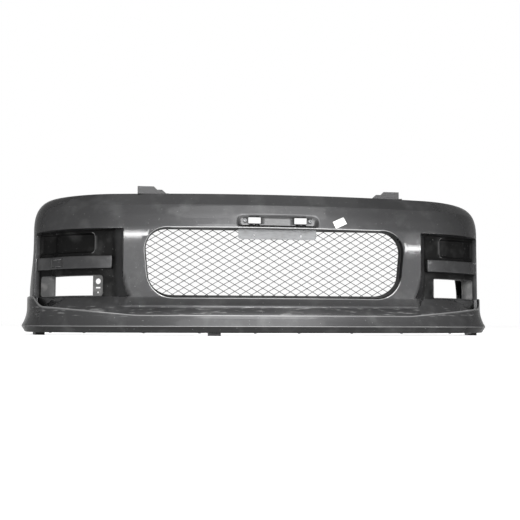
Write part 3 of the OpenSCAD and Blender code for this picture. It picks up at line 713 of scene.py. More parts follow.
@dataclass(frozen=True)
class Finishes:
    """Materials of the whole part."""

    paint: Material
    shaded: Material
    black: Material
    # Near-black finish of the skin's inside, which the grille's return walls take too.
    bare: Material
    bracket: Material
    sheet: Material
    dark_sheet: Material
    steel: Material
    mesh: Material
    nylon: Material
    paper: Material

    @classmethod
    def make(cls) -> Finishes:
        """Builds every material once.

        Returns:
            The materials.
        """
        return cls(
            paint=PaintFinish().material(),
            shaded=PaintFinish("shaded_paint", coat=0.0, roughness=(0.7, 0.8)).material(),
            black=GrainFinish("black_plastic", (0.010, 0.010, 0.011), (0.024, 0.024, 0.025)).material(),
            bare=GrainFinish("bare_inside", (0.005, 0.005, 0.005), (0.010, 0.010, 0.010), shine=0.1,
                             dust_share=0.04).material(),
            bracket=GrainFinish("dusty_plastic", (0.045, 0.045, 0.045), (0.075, 0.075, 0.075)).material(),
            sheet=MetalFinish("grey_sheet", (0.12, 0.123, 0.126), (0.18, 0.183, 0.186), 0.2, 0.5).material(),
            dark_sheet=MetalFinish("dark_sheet", (0.016, 0.016, 0.017), (0.028, 0.028, 0.029), 0.2,
                                   0.45).material(),
            steel=MetalFinish("satin_steel", (0.20, 0.205, 0.21), (0.32, 0.325, 0.335)).material(),
            mesh=MetalFinish("dull_mesh", (0.05, 0.05, 0.051), (0.09, 0.09, 0.092), 0.6, 0.6).material(),
            nylon=GrainFinish("grey_nylon", (0.15, 0.155, 0.16), (0.21, 0.215, 0.22), (0.42, 0.6)).material(),
            paper=GrainFinish("blank_paper", (0.78, 0.77, 0.74), (0.9, 0.9, 0.89), (0.45, 0.6),
                              dust_share=0.0, clouds=Pattern(60, 4), grain=Pattern(120, 3),
                              grain_depth=0.0001).material(),
        )

    def of(self, slot: Slot) -> Material:
        """The material that belongs to a slot of the record."""
        return getattr(self, slot.value)


def place_piece(piece: Piece, body: Body, materials: Sequence[Material],
                nodes: Sequence[str] = ()) -> None:
    """Dresses a new piece and hands it to the frame.

    Args:
        piece: The piece.
        body: Body that it rides on.
        materials: Its finish, or one for each of its surfaces.
        nodes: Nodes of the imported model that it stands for.
    """
    if not piece.data.materials:
        for material in materials:
            piece.data.materials.append(material)
    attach(piece, body.value)
    if nodes:
        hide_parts(*nodes)
    LOG.info("%s: %d faces, stands for %s", piece.name, len(piece.data.polygons), ", ".join(nodes) or "trim")


# Shape of the cover


class Side(IntEnum):
    """Sides of the part, with the sign of their lengths."""

    LEFT = -1
    RIGHT = 1

    def named(self, thing: str) -> str:
        """Name of a thing that each side has."""
        return f"{self.name.lower()}_{thing}"


class Surface(IntEnum):
    """Surfaces of the skin, in the order of its finishes."""

    PAINTED = 0
    BARE = 1
    SHADED = 2
    LAMP_WALL = 3


@dataclass(frozen=True)
class PlanLine:
    """Line that the cover follows, seen from above.

    It has a front arc in the middle, and a corner arc and a long side arc on each side.
    """

    front_radius: float = 2300.0
    corner_radius: float = 360.0
    side_radius: float = 12000.0
    corner_turn: float = 14.0
    side_turn: float = 85.5
    front_depth: float = 275.5
    reach: float = 580.0
    arch_radius: float = 340.0
    arch_depth: float = 885.0
    arch_height: float = 150.0
    side_swell: float = 12.0
    swell_turn: float = 62.0
    swell_heights: Pair = (140.0, 340.0)

    @property
    def front_length(self) -> float:
        """Length from the middle to the start of the corner."""
        return self.front_radius * math.radians(self.corner_turn)

    @property
    def side_start(self) -> float:
        """Length from the middle to the end of the corner."""
        return self.at_turn(self.side_turn)

    @property
    def full_length(self) -> float:
        """Length from the middle to the rear edge, above the wheel arch."""
        return self.at_depth(self.reach)

    @property
    def corner_centre(self) -> Array:
        """Centre of the corner arc.

        Returns:
            Its place across and its depth.
        """
        turn = math.radians(self.corner_turn)
        gap = self.front_radius - self.corner_radius
        return np.array([gap * math.sin(turn), self.front_radius - gap * math.cos(turn)])

    @property
    def side_centre(self) -> Array:
        """Centre of the side arc.

        Returns:
            Its place across and its depth.
        """
        turn = math.radians(self.side_turn)
        gap = self.corner_radius - self.side_radius
        return self.corner_centre + gap * np.array([math.sin(turn), -math.cos(turn)])

    def at_turn(self, turn: float) -> float:
        """Length from the middle to a turn, in degrees, of the corner arc."""
        return self.front_length + self.corner_radius * math.radians(turn - self.corner_turn)

    def at_x(self, x: Array | float) -> Array | float:
        """Length from the middle to a place across the front."""
        return self.front_radius * np.arcsin(np.asarray(x) / self.front_radius)

    def at_depth(self, depth: Array | float) -> Array | float:
        """Length from the middle to a depth on the side."""
        turn = np.arccos((self.side_centre[1] - depth) / self.side_radius)
        return self.side_start + (turn - math.radians(self.side_turn)) * self.side_radius

    def rear_length(self, z: Array) -> Array:
        """Length from the middle to the rear edge, which the wheel arch cuts, at each height."""
        chord = np.sqrt(np.maximum(self.arch_radius**2 - (z - self.arch_height) ** 2, 0))
        return self.at_depth(np.minimum(self.reach, self.arch_depth - chord))

    def eased(self, s: Array, turns: Sequence[float], start: float, end: float) -> Array:
        """Value at each length, which goes softly from start at the first turn to end at the last one."""
        first, last = (self.at_turn(turn) for turn in turns)
        return start + (end - start) * smooth_step(np.abs(s), first, last)

    def warped(self, s: Array, z: Array) -> Array:
        """Lengths of a straight grid, drawn in so that its last line follows the rear edge.

        Args:
            s: Lengths of the straight grid.
            z: Heights.

        Returns:
            The drawn-in lengths.
        """
        a = np.abs(s)
        share = np.clip((a - self.side_start) / (self.full_length - self.side_start), 0, 1)
        pulled = self.side_start + share * (self.rear_length(z) - self.side_start)
        return np.sign(s) * np.where(a > self.side_start, pulled, a)

    def swell(self, s: Array, z: Array) -> Array:
        """Outward swell of the sides towards their lower rear corners."""
        back = smooth_step(np.abs(s), self.at_turn(self.swell_turn), self.full_length)
        return self.side_swell * back * (1 - smooth_step(z, *self.swell_heights))

    def points(self, s: Array, e: Array, z: Array) -> Array:
        """Points in the frame, in millimetres.

        Args:
            s: Lengths along the line.
            e: Distances out from the line.
            z: Heights.

        Returns:
            The points, one in each row.
        """
        a = np.abs(s)
        zones = [a <= self.front_length, a <= self.side_start]
        on_front = a / self.front_radius
        on_corner = math.radians(self.corner_turn) + (a - self.front_length) / self.corner_radius
        on_side = math.radians(self.side_turn) + (a - self.side_start) / self.side_radius
        turn = np.select(zones, [on_front, on_corner], on_side)
        radius = np.select(zones, [self.front_radius, self.corner_radius], self.side_radius)
        across = np.select(zones, [0.0, self.corner_centre[0]], self.side_centre[0])
        depth = np.select(zones, [self.front_radius, self.corner_centre[1]], self.side_centre[1])
        x = across + (radius + e) * np.sin(turn)
        y = depth - (radius + e) * np.cos(turn) - self.front_depth
        return np.column_stack([np.sign(s) * x, y, z])


@dataclass(frozen=True)
class GrilleOpening:
    """Grille opening: its outline seen from in front, its rounded rim and the return behind it."""

    half_top: float = 448.0
    half_bottom: float = 425.0
    low: float = 127.0
    high: float = 358.0
    top_radius: float = 70.0
    bottom_radius: float = 85.0
    spacing: float = 18.0
    corner_steps: int = 10
    rim: float = 4.8
    rim_shares: Numbers = (1.0, 0.72, 0.45, 0.22, 0.07, 0.0)
    return_depth: float = 92.0
    return_steps: Pair = (30.0, 60.0)
    return_round: float = 1.0
    return_flange: float = 18.0
    return_rise: float = 9.5

    def loop(self, grow: float = 0.0) -> Array:
        """Points of the outline, with the same count for every growth.

        Args:
            grow: Distance by which the outline is grown.

        Returns:
            Place across and height of each point, one in each row.
        """
        corners = [(self.half_top, self.high, self.top_radius), (-self.half_top, self.high, self.top_radius),
                   (-self.half_bottom, self.low, self.bottom_radius),
                   (self.half_bottom, self.low, self.bottom_radius)]
        plain = rounded_loop(corners, self.spacing, self.corner_steps)
        if not grow:
            return plain
        ahead = np.roll(plain, -1, axis=0) - np.roll(plain, 1, axis=0)
        ahead /= np.linalg.norm(ahead, axis=1)[:, None]
        return plain + grow * np.column_stack([ahead[:, 1], -ahead[:, 0]])

    def rim_loops(self, plan: PlanLine) -> list[tuple[Array, float]]:
        """Loops round the opening, from the skin in to the return.

        Args:
            plan: Line that the cover follows.

        Returns:
            Each loop, as lengths along the line and heights, and its depth.
        """
        loops = []
        for share in self.rim_shares:
            out = self.rim * share
            depth = self.rim - math.sqrt(self.rim**2 - (self.rim - out) ** 2)
            x, z = self.loop(out).T
            loops.append((np.column_stack([plan.at_x(x), z]), depth))
        return loops

    def return_rings(self, plan: PlanLine) -> list[Array]:
        """Rings of the return, which rises at its bottom, and of its flange, behind the rim.

        Args:
            plan: Line that the cover follows.

        Returns:
            The points of each ring.
        """
        first, second = self.return_steps
        last = self.return_depth
        rows = ((0.0, first, 1 / 3), (0.0, second, 2 / 3), (0.0, last - self.return_round, 1.0),
                (self.return_round, last, 1.0), (self.return_flange, last, 0.0))
        rings = []
        for grow, depth, share in rows:
            x, z = self.loop(grow).T
            bottom = 1 - smooth_step(z, self.low, self.low + self.bottom_radius)
            y = np.full(len(x), depth - plan.front_depth)
            rings.append(np.column_stack([x, y, z + self.return_rise * share * bottom]))
        return rings


@dataclass(frozen=True)
class Step:
    """Wall of a moulded recess: a rounded edge, a steep wall and a rounded foot."""

    depth: float
    edge: float
    foot: float
    draft: float
    edge_shares: Numbers = (1.0, 0.75, 0.5, 0.25, 0.08)
    foot_shares: Numbers = (0.3, 1.0)
    past_foot: Numbers = (7.0, 10.0, 14.0)

    def depth_at(self, inside: Array) -> Array:
        """Depth of the wall.

        Args:
            inside: Distances inside the recess's edge line.

        Returns:
            The depth at each of them.
        """
        start = np.clip(inside + self.edge, 0, self.edge)
        rolled = self.edge - np.sqrt(self.edge**2 - start**2)
        steep = np.clip(inside / self.draft, 0, 1) * (self.depth - self.edge - self.foot)
        last = np.clip(inside - self.draft, 0, self.foot)
        settled = np.sqrt(self.foot**2 - (self.foot - last) ** 2)
        return rolled + steep + settled

    def lines(self, edge_line: float, inward: int) -> list[float]:
        """Grid lines that follow the wall's section.

        Args:
            edge_line: Place of the edge line.
            inward: 1 or -1, the side on which the recess lies.

        Returns:
            Places of the lines.
        """
        offsets = [-self.edge * k for k in self.edge_shares]
        offsets += [0.0, self.draft / 2, self.draft]
        offsets += [self.draft + self.foot * k for k in self.foot_shares]
        return [edge_line + inward * o for o in (*offsets, *self.past_foot)]


@dataclass(frozen=True)
class CornerRecess:
    """Recess at each corner, with a sloping inner wall, a bar, a pocket over the bar and a shelf below.

    Attributes:
        ledge: Distance out and height of the ledge's edge under the recess.
        end_turns: Turns at which the left and the right recess end.
        spread: How far the sloping wall runs towards the middle at its foot.
        left_rises: First turn, last turn and height of each rise of the left floor.
        highlight_line: Distance outside the pocket's edge line at which the painted highlight is strongest.
    """

    plan: PlanLine = field(default_factory=PlanLine)
    ledge: Pair = (8.5, 69.0)
    ledge_fade: float = 10.0
    ledge_round: float = 4.0
    top: float = 357.0
    far_below: float = -900.0
    corner: float = 24.0
    end_turns: Pair = (74.0, 66.0)
    slope_run: float = 44.0
    slope_lead: float = 4.0
    slope_round: float = 8.0
    spread: float = 50.0
    spread_top: float = 240.0
    spread_drop: float = 135.0
    spread_most: float = 1.2
    spread_power: float = 2.5
    floor: float = 48.0
    left_rises: Triples = ((36.0, 60.8, 8.0), (61.5, 74.0, 24.0))
    right_rises: Triples = ((36.0, 66.0, 32.0),)
    shelf: float = 131.0
    shelf_lines: Numbers = (-2.0, 0.0, 2.0)
    bar: Pair = (225.0, 269.0)
    bar_corner: float = 6.0
    bar_face: float = 30.0
    left_bar_rises: Triples = ((61.5, 74.0, 25.0),)
    right_bar_rises: Triples = ((36.0, 66.0, 25.0),)
    pocket: Pair = (280.0, 346.0)
    pocket_turn: float = 26.4
    pocket_gap: float = 8.0
    pocket_corner: float = 13.0
    pocket_turns: Pair = (30.0, 66.0)
    pocket_shares: Pair = (1.0, 0.4)
    edge_step: Step = Step(90.0, 5.0, 2.0, 4.0)
    bar_step: Step = Step(60.0, 4.0, 2.0, 2.5)
    pocket_step: Step = Step(22.0, 3.0, 5.0, 2.5)
    # Painted highlight along the pocket's inner edge.
    highlight_most: float = 0.8
    highlight_reach: float = 12.0
    highlight_line: float = 1.5
    highlight_width: float = 1.2
    # Where the painted shade of the recess begins, and how much of it falls on the slope and the bar.
    edge_shades: Pair = (1.0, 7.0)
    floor_shades: Pair = (0.6, 1.0)
    bar_shades: Pair = (1.5, 5.0)
    slope_shade: float = 0.3
    fine_lead: float = 62.0
    fine_spacing: float = 6.0
    fine_count: int = 19
    past_edge: Numbers = (18.0, 22.0, 27.0, 33.0)

    @property
    def inner_edge(self) -> float:
        """Length from the middle to the sloping wall's front edge."""
        return self.plan.front_length - self.slope_run

    @property
    def fine_start(self) -> float:
        """Length from the middle at which the grid becomes fine."""
        return self.inner_edge - self.fine_lead

    @property
    def ends(self) -> Pair:
        """Lengths from the middle to the outer edge on the left and on the right."""
        left, right = self.end_turns
        return self.plan.at_turn(left), self.plan.at_turn(right)

    def end_at(self, s: Array) -> Array:
        """Length from the middle to the outer edge, on the side of each length."""
        return np.where(s < 0, *self.ends)

    def risen(self, s: Array, left: Triples, right: Triples) -> Array:
        """Height of the rises towards the outer ends.

        Args:
            s: Lengths along the plan.
            left: First turn, last turn and height of each rise on the left.
            right: The same on the right.

        Returns:
            The height at each length.
        """
        sides = [sum(self.plan.eased(s, rise[:2], 0.0, rise[2]) for rise in rises) for rises in (left, right)]
        return np.where(s < 0, *sides)

    def floor_depth(self, s: Array) -> Array:
        """Depth of the floor, which rises towards its outer end, more suddenly beside the left flap."""
        return self.floor - self.risen(s, self.left_rises, self.right_rises)

    def bar_depth(self, s: Array) -> Array:
        """Depth of the bar's face, which comes out nearly to the skin at its outer end."""
        return self.bar_face - self.risen(s, self.left_bar_rises, self.right_bar_rises)

    def bare_depth(self, s: Array, z: Array) -> Array:
        """Depth of the bare recess, without what stands in it.

        Args:
            s: Lengths along the plan.
            z: Heights.

        Returns:
            The depths.
        """
        a = np.abs(s)
        low = np.clip((self.spread_top - z) / self.spread_drop, 0, self.spread_most)
        start = self.inner_edge - self.slope_lead - self.spread * low**self.spread_power
        slope = np.maximum((a - start) * self.floor / (self.plan.front_length - start), 0)
        slope = smooth_min(slope, self.floor_depth(s), self.slope_round)
        end = self.end_at(s)
        box = inside_box(a, z, (-end, end, self.far_below, self.top), self.corner)
        depth = np.minimum(slope, self.edge_step.depth_at(box))
        over = self.ledge[0] * (1 - np.clip(depth / self.ledge_fade, 0, 1))
        return np.maximum(-smooth_min(over - depth, 0.0, self.ledge_round) * (depth > 0), 0)

    def in_pocket(self, s: Array, z: Array) -> Array:
        """Distance inside the pocket's edge line, negative outside it, at lengths and heights."""
        ends = (self.plan.at_turn(self.pocket_turn), self.end_at(s) - self.pocket_gap)
        return inside_box(np.abs(s), z, (*ends, *self.pocket), self.pocket_corner)

    def depth(self, s: Array, z: Array) -> Array:
        """Depth of the recess with its bar and pocket, above the shelf.

        Args:
            s: Lengths along the plan.
            z: Heights.

        Returns:
            The depths.
        """
        bare = self.bare_depth(s, z)
        share = np.clip(bare / self.floor_depth(s), 0, 1)
        bar_box = (self.plan.front_length, 2 * self.end_at(s), *self.bar)
        on_bar = inside_box(np.abs(s), z, bar_box, self.bar_corner)
        bar = self.bar_depth(s) + self.bar_step.depth_at(-on_bar)
        fade = self.plan.eased(s, self.pocket_turns, *self.pocket_shares)
        more = fade * self.pocket_step.depth_at(self.in_pocket(s, z))
        return np.minimum(bare, bar) + more * share**2

    def highlight_share(self, s: Array, z: Array) -> Array:
        """Share of painted highlight on the pocket's inner edge.

        Args:
            s: Lengths along the plan.
            z: Heights.

        Returns:
            The shares.
        """
        inner = np.abs(s) < self.plan.at_turn(self.pocket_turn) + self.highlight_reach
        on_edge = np.exp(-(((self.in_pocket(s, z) + self.highlight_line) / self.highlight_width) ** 2))
        return np.where(inner, self.highlight_most * on_edge, 0)

    def painted_shade_share(self, s: Array, z: Array) -> Array:
        """Share of painted shade: 1 on the floor and pocket, less on the slope, 0 on the bar and outside.

        Args:
            s: Lengths along the plan.
            z: Heights.

        Returns:
            The shares.
        """
        bare = self.bare_depth(s, z)
        on_bar = smooth_step(bare - self.depth(s, z), *self.bar_shades)
        on_floor = smooth_step(bare / self.floor_depth(s), *self.floor_shades)
        shade = self.slope_shade + (1 - self.slope_shade) * on_floor
        share = smooth_step(bare, *self.edge_shades) * shade
        return np.where(z > self.shelf, share * (1 - on_bar), 0)

    def length_marks(self, end: float) -> list[float]:
        """Grid lines that the recess needs across the length of one side.

        Args:
            end: Length from the middle to its outer edge.

        Returns:
            Lengths from the middle.
        """
        front = self.plan.front_length
        marks = [self.fine_start + self.fine_spacing * k for k in range(self.fine_count)]
        marks += [front + self.slope_round, *(end - o for o in self.past_edge)]
        marks += self.edge_step.lines(end, -1)
        marks += self.bar_step.lines(front, -1)
        marks += self.pocket_step.lines(self.plan.at_turn(self.pocket_turn), 1)
        marks += self.pocket_step.lines(end - self.pocket_gap, -1)
        return marks

    def height_marks(self) -> list[float]:
        """Grid lines that the recess needs across the section.

        Returns:
            Heights.
        """
        marks = [self.shelf + o for o in self.shelf_lines]
        marks += [self.top - o for o in self.past_edge[:-1]]
        marks += self.edge_step.lines(self.top, -1)
        marks += self.bar_step.lines(self.bar[0], -1) + self.bar_step.lines(self.bar[1], 1)
        marks += self.pocket_step.lines(self.pocket[0], 1) + self.pocket_step.lines(self.pocket[1], -1)
        return marks


@dataclass(frozen=True)
class PlateSeat:
    """Flat seat for the number plate in the brow, with a slot and a nut's hole on each side.

    Attributes:
        slot: Inner and outer end, and lower and upper edge.
        nut: Place across, height and radius.
        edge_lines: Distances inside its edge at which the grid has lines.
    """

    half: float = 134.0
    heights: Pair = (363.0, 402.0)
    depth: float = 20.0
    sill: float = 8.0
    sill_steps: int = 4
    corner: float = 14.0
    soft: float = 9.0
    slot: tuple[float, float, float, float] = (57.5, 100.5, 376.5, 396.5)
    slot_corner: float = 2.0
    slot_spacing: float = 8.0
    slot_steps: int = 3
    nut: Triple = (111.0, 386.5, 4.1)
    nut_sides: int = 20
    edge_lines: Numbers = (-10, -8, -6, -4, -2, 0, 2, 4, 6, 8, 11, 14)

    def share(self, s: Array, z: Array) -> Array:
        """Share of the seat: 1 on its floor, 0 outside it.

        Args:
            s: Lengths along the plan.
            z: Heights.

        Returns:
            The shares.
        """
        box = inside_box(s, z, (-self.half, self.half, *self.heights), self.corner)
        above_sill = np.clip((z - self.heights[0]) / self.sill, 0, 1)
        return np.minimum(smooth_step(box, -self.soft, self.soft), above_sill)

    def slot_loop(self, side: Side) -> Array:
        """Loop of the slot on one side."""
        ends = sorted(side * x for x in self.slot[:2])
        return box_loop((*ends, *self.slot[2:]), self.slot_corner, self.slot_spacing, self.slot_steps)

    def nut_loop(self, side: Side) -> Array:
        """Loop of the nut's hole on one side.

        Args:
            side: The side.

        Returns:
            The points, one in each row.
        """
        x, z, radius = self.nut
        around = np.linspace(0, 2 * math.pi, self.nut_sides, endpoint=False)
        return np.column_stack([side * x + radius * np.cos(around), z + radius * np.sin(around)])

    def length_marks(self) -> list[float]:
        """Lengths from the middle that need a grid line."""
        return [self.half - o for o in self.edge_lines]

    def height_marks(self) -> list[float]:
        """Heights that need a grid line."""
        marks = [self.heights[0] + self.sill * k / self.sill_steps for k in range(self.sill_steps + 1)]
        return marks + [self.heights[1] - o for o in self.edge_lines]


@dataclass(frozen=True)
class LampOpening:
    """Lamp opening in each recess, with a wall back to the lamp bracket.

    Attributes:
        end_turns: Turns at which the left and the right opening end.
        back_end: Turn at which the wall ends at the bracket.
    """

    plan: PlanLine = field(default_factory=PlanLine)
    heights: Pair = (132.0, 204.0)
    start_turn: float = 20.4
    end_turns: Pair = (71.5, 64.8)
    back_end: float = 63.2
    back: float = 50.5
    corner: float = 12.0
    spacing: float = 10.0
    wall_shares: Numbers = (0.05, 0.5, 1.0)
    least_wall: float = 1.0

    def span(self, side: Side) -> Pair:
        """Lengths from the middle to both ends on one side."""
        left, right = self.end_turns
        return self.plan.at_turn(self.start_turn), self.plan.at_turn(left if side == Side.LEFT else right)

    def loop(self, side: Side) -> Array:
        """Loop of the opening on one side, as lengths along the plan line and heights."""
        ends = sorted(side * length for length in self.span(side))
        return box_loop((*ends, *self.heights), self.corner, self.spacing)

    def rings(self, side: Side, front: Array) -> list[Array]:
        """Rings of the wall, from the skin back and inwards to the lamp bracket.

        Args:
            side: The side.
            front: Distance out of the skin at each point of the loop.

        Returns:
            The points of each ring.
        """
        s, z = self.loop(side).T
        start, end = self.span(side)
        narrowed = (self.plan.at_turn(self.back_end) - start) / (end - start)
        rings = []
        for share in self.wall_shares:
            back = np.minimum(front - self.least_wall, front + (-self.back - front) * share)
            across = (np.abs(s) - start) * (1 + (narrowed - 1) * share)
            rings.append(self.plan.points(side * (start + across), back, z))
        return rings


@dataclass
class FlatSheet:
    """A sheet laid flat: places as lengths along the plan line and the section, and what is cut in it.

    Attributes:
        places: One place in each row.
        depths: Depth of the rounded rim at each place.
        faces: Place numbers of each face.
        rings: Place numbers round each hole, by its name.
    """

    places: Array
    depths: Array
    faces: list[list[int]]
    rings: dict[str, list[int]]


@dataclass
class CoverSkin:
    """Moulded skin of the cover, with its recesses, plate seat, openings and the walls behind them.

    Attributes:
        corners: Distance out, height and radius of each corner of the section, from the top edge down.
        face: Height at which the brow begins to lean back.
        foot: Height at which the groove over the ledge begins.
        straight_turns: Turns between which that groove fades out.
        shoulder_turns: Turns between which the brow becomes a round shoulder.
        flange_foot: Heights over which the wheel arch's flange begins.
        flange_head: Heights over which it ends.
        clear: Distance that the grid keeps from the holes.
        section: Points of the rounded section.
        run: Length along the section at each of them.
    """

    plan: PlanLine = field(default_factory=PlanLine)
    grille: GrilleOpening = field(default_factory=GrilleOpening)
    recess: CornerRecess = field(default_factory=CornerRecess)
    seat: PlateSeat = field(default_factory=PlateSeat)
    lamp: LampOpening = field(default_factory=LampOpening)
    wall: float = 3.0
    corners: Triples = (
        (-126, 482, 0), (-76, 482, 7), (-31, 440, 8), (-11, 400.5, 120), (0, 361, 60),
        (0, 127, 10), (-16, 98, 10), (8.5, 69, 3), (8.5, 13.5, 3), (-35.5, 13.5, 0))
    face: float = 361.0
    foot: float = 127.0
    straight_turns: Pair = (54.0, 70.0)
    top: float = 482.0
    lean: float = 76.0
    shoulder_turns: Pair = (34.0, 74.0)
    shoulder_power: float = 3.0
    shelf_slope: float = 1.2
    shelf_round: float = 4.0
    flap_turns: Pair = (49.7, 60.45)
    flap_heights: Pair = (235.0, 259.0)
    flap_corner: float = 1.5
    flap_spacing: float = 10.0
    flap_steps: int = 3
    arch_flange: float = 32.0
    flange_least: float = 0.1
    flange_foot: Pair = (127.0, 140.0)
    flange_head: Pair = (345.0, 358.0)
    flange_lines: Numbers = (0.05, 0.2, 1.0)
    top_lines: Numbers = (0.4, 1, 2, 3.5, 5.5, 8, 11, 15, 20, 26, 32)
    front_spacing: float = 21.0
    corner_spacing: float = 12.5
    height_spacing: float = 12.0
    closest_heights: float = 0.6
    clear: float = 1.3
    merge: float = 1e-5
    # Painted highlight on the grille's rim, weaker along its bottom, and a little pale wear on the plate
    # seat.
    rubbed_depths: Pair = (0.1, 2.5)
    low_rim_highlight: float = 0.3
    seat_rubbed: float = 0.05
    shaded_from: float = 0.2
    section: Array = field(init=False)
    run: Array = field(init=False)

    def __post_init__(self) -> None:
        """Works out the rounded section and the length along it."""
        self.section = rounded_line(self.corners)
        steps = np.linalg.norm(np.diff(self.section, axis=0), axis=1)
        self.run = np.concatenate([[0], np.cumsum(steps)])

    def run_at(self, z: Array | float) -> Array | float:
        """Length along the section at a height between the lip and the top edge."""
        return np.interp(z, np.maximum.accumulate(self.section[::-1, 1]), self.run[::-1])

    def height_at(self, run: Array) -> Array:
        """Height at each length along the section."""
        return np.interp(run, self.run, self.section[:, 1])

    def above_ledge(self, run: Array) -> Array:
        """True for each length along the section that lies above the ledge's edge."""
        return run < self.run_at(self.recess.ledge[1])

    def rubbed_share(self, sheet: FlatSheet) -> Array:
        """Share of painted highlight on the grille's rim and the pockets' inner edges, and of pale wear a
        little on the plate seat.

        Args:
            sheet: The flat sheet.

        Returns:
            The share at each place.
        """
        s, run = sheet.places.T
        z = self.height_at(run)
        low, high = self.rubbed_depths
        on_rim = (sheet.depths > low) & (sheet.depths < high)
        rim = np.where(z < self.grille.low + self.grille.rim, self.low_rim_highlight, 1.0)
        elsewhere = np.maximum(self.recess.highlight_share(s, z), self.seat_rubbed * self.seat.share(s, z))
        return np.where(on_rim, rim, elsewhere)

    def plain_out(self, s: Array, run: Array) -> Array:
        """Distance of the skin out from the plan line, without recesses and plate seat.

        Args:
            s: Lengths along the plan.
            run: Lengths along the section.

        Returns:
            The distances.
        """
        e = np.interp(run, self.run, self.section[:, 0])
        z = self.height_at(run)
        up = np.clip((z - self.face) / (self.top - self.face), 0, 1)
        shoulder = -self.lean * (1 - np.sqrt(1 - up**self.shoulder_power))
        rounded = self.plan.eased(s, self.shoulder_turns, 0.0, 1.0)
        e = e + np.where(z > self.face, rounded * (shoulder - np.clip(e, -self.lean, 0)), 0)
        ledge_out, ledge_height = self.recess.ledge
        straight = ledge_out * (self.foot - z) / (self.foot - ledge_height)
        sides = self.plan.eased(s, self.straight_turns, 0.0, 1.0)
        in_groove = (z < self.foot) & self.above_ledge(run)
        return e + np.where(in_groove, sides * (straight - e), 0)

    def out(self, s: Array, run: Array) -> Array:
        """Distance of the finished skin out from the plan line.

        Args:
            s: Lengths along the plan.
            run: Lengths along the section.

        Returns:
            The distances.
        """
        recess = self.recess
        e = self.plain_out(s, run)
        z = self.height_at(run)
        ledge_out, ledge_height = recess.ledge
        rise = (recess.shelf - z) / (recess.shelf - ledge_height)
        bare = recess.bare_depth(s, np.maximum(z, recess.shelf))
        sloping = -recess.floor + rise * (recess.floor + ledge_out)
        shelf = np.maximum(sloping, ledge_out - self.shelf_slope * bare)
        on_shelf = (z < recess.shelf) & self.above_ledge(run)
        e = np.where(on_shelf, smooth_min(e, shelf, self.shelf_round), e)
        e = e - np.where(z >= recess.shelf, recess.depth(s, z), 0)
        seat_line = s**2 / (2 * self.plan.front_radius) - self.seat.depth
        return e + self.seat.share(s, z) * (seat_line - e)

    def half_lines(self, end: float) -> Array:
        """Grid lines across the length of one side, from the middle.

        Args:
            end: Length from the middle to the recess's outer edge.

        Returns:
            The lengths of the lines.
        """
        full = self.plan.full_length
        marks = [0.0, self.plan.side_start, full, *self.recess.length_marks(end), *self.seat.length_marks()]
        marks += [full + self.arch_flange * k for k in self.flange_lines]
        inner = self.recess.fine_start
        front = grid_lines([m for m in marks if m <= inner], self.front_spacing)
        corner = grid_lines([m for m in marks if m >= inner], self.corner_spacing)
        return np.concatenate([front, corner[1:]])

    def length_lines(self) -> Array:
        """Grid lines across the length, for both sides."""
        left, right = (self.half_lines(end) for end in self.recess.ends)
        return np.concatenate([-left[:0:-1], right])

    def height_lines(self) -> Array:
        """Grid lines across the section.

        Returns:
            Lengths along the section.
        """
        heights = [*self.recess.height_marks(), *self.seat.height_marks()]
        heights += [self.top - o for o in self.top_lines]
        marks = [*self.run, *self.run_at(np.array(heights))]
        return grid_lines(marks, self.height_spacing, self.closest_heights)

    def holes(self) -> dict[str, Array]:
        """Loops of the plain holes.

        Returns:
            Each hole's loop, as lengths along the plan line and heights, by its name.
        """
        ends = sorted(-self.plan.at_turn(turn) for turn in self.flap_turns)
        flap_box = (*ends, *self.flap_heights)
        loops = {"flap": box_loop(flap_box, self.flap_corner, self.flap_spacing, self.flap_steps)}
        for side in Side:
            loops[side.named("lamp")] = self.lamp.loop(side)
            loops[side.named("slot")] = self.seat.slot_loop(side)
            loops[side.named("nut")] = self.seat.nut_loop(side)
        return loops

    def unrolled(self, loop: Array) -> Array:
        """A loop with lengths along the section in place of its heights."""
        return np.column_stack([loop[:, 0], self.run_at(loop[:, 1])])

    def flat_mesh(self) -> FlatSheet:
        """Lays the skin flat as a grid of triangles, with its holes cut out.

        Returns:
            The flat sheet.
        """
        rims = self.grille.rim_loops(self.plan)
        holes = {name: self.unrolled(loop) for name, loop in self.holes().items()}
        rounds = [self.unrolled(loop) for loop, _ in rims]
        s, run = np.meshgrid(self.length_lines(), self.height_lines())
        places = np.column_stack([s.ravel(), run.ravel()])
        for loop in (*holes.values(), rounds[0]):
            places = places[~is_inside(places, loop) & (loop_distance(places, loop) > self.clear)]
        numbers = []
        count = len(places)
        for loop in (*holes.values(), *rounds):
            numbers.append(range(count, count + len(loop)))
            count += len(loop)
        edges = [edge for ring in numbers for edge in zip(ring, (*ring[1:], ring[0]))]
        depths = np.zeros(count)
        for (_, depth), ring in zip(rims, numbers[len(holes):]):
            depths[ring] = depth
        places = np.vstack([places, *holes.values(), *rounds])
        flat = delaunay_2d_cdt([Vector(p) for p in places], edges, [], 0, self.merge)
        _, _, triangles, sources, _, _ = flat
        found = {source: k for k, merged in enumerate(sources) for source in merged}
        first = np.array([merged[0] for merged in sources])
        places = places[first]
        middles = np.array([places[list(face)].mean(axis=0) for face in triangles])
        outside = np.ones(len(middles), dtype=bool)
        for loop in (*holes.values(), rounds[-1]):
            outside &= ~is_inside(middles, loop)
        faces = [list(face) for face, keep in zip(triangles, outside) if keep]
        names = dict(zip(holes, numbers)) | {"grille": numbers[-1]}
        rings = {name: [found[k] for k in ring] for name, ring in names.items()}
        return FlatSheet(places, depths[first], faces, rings)

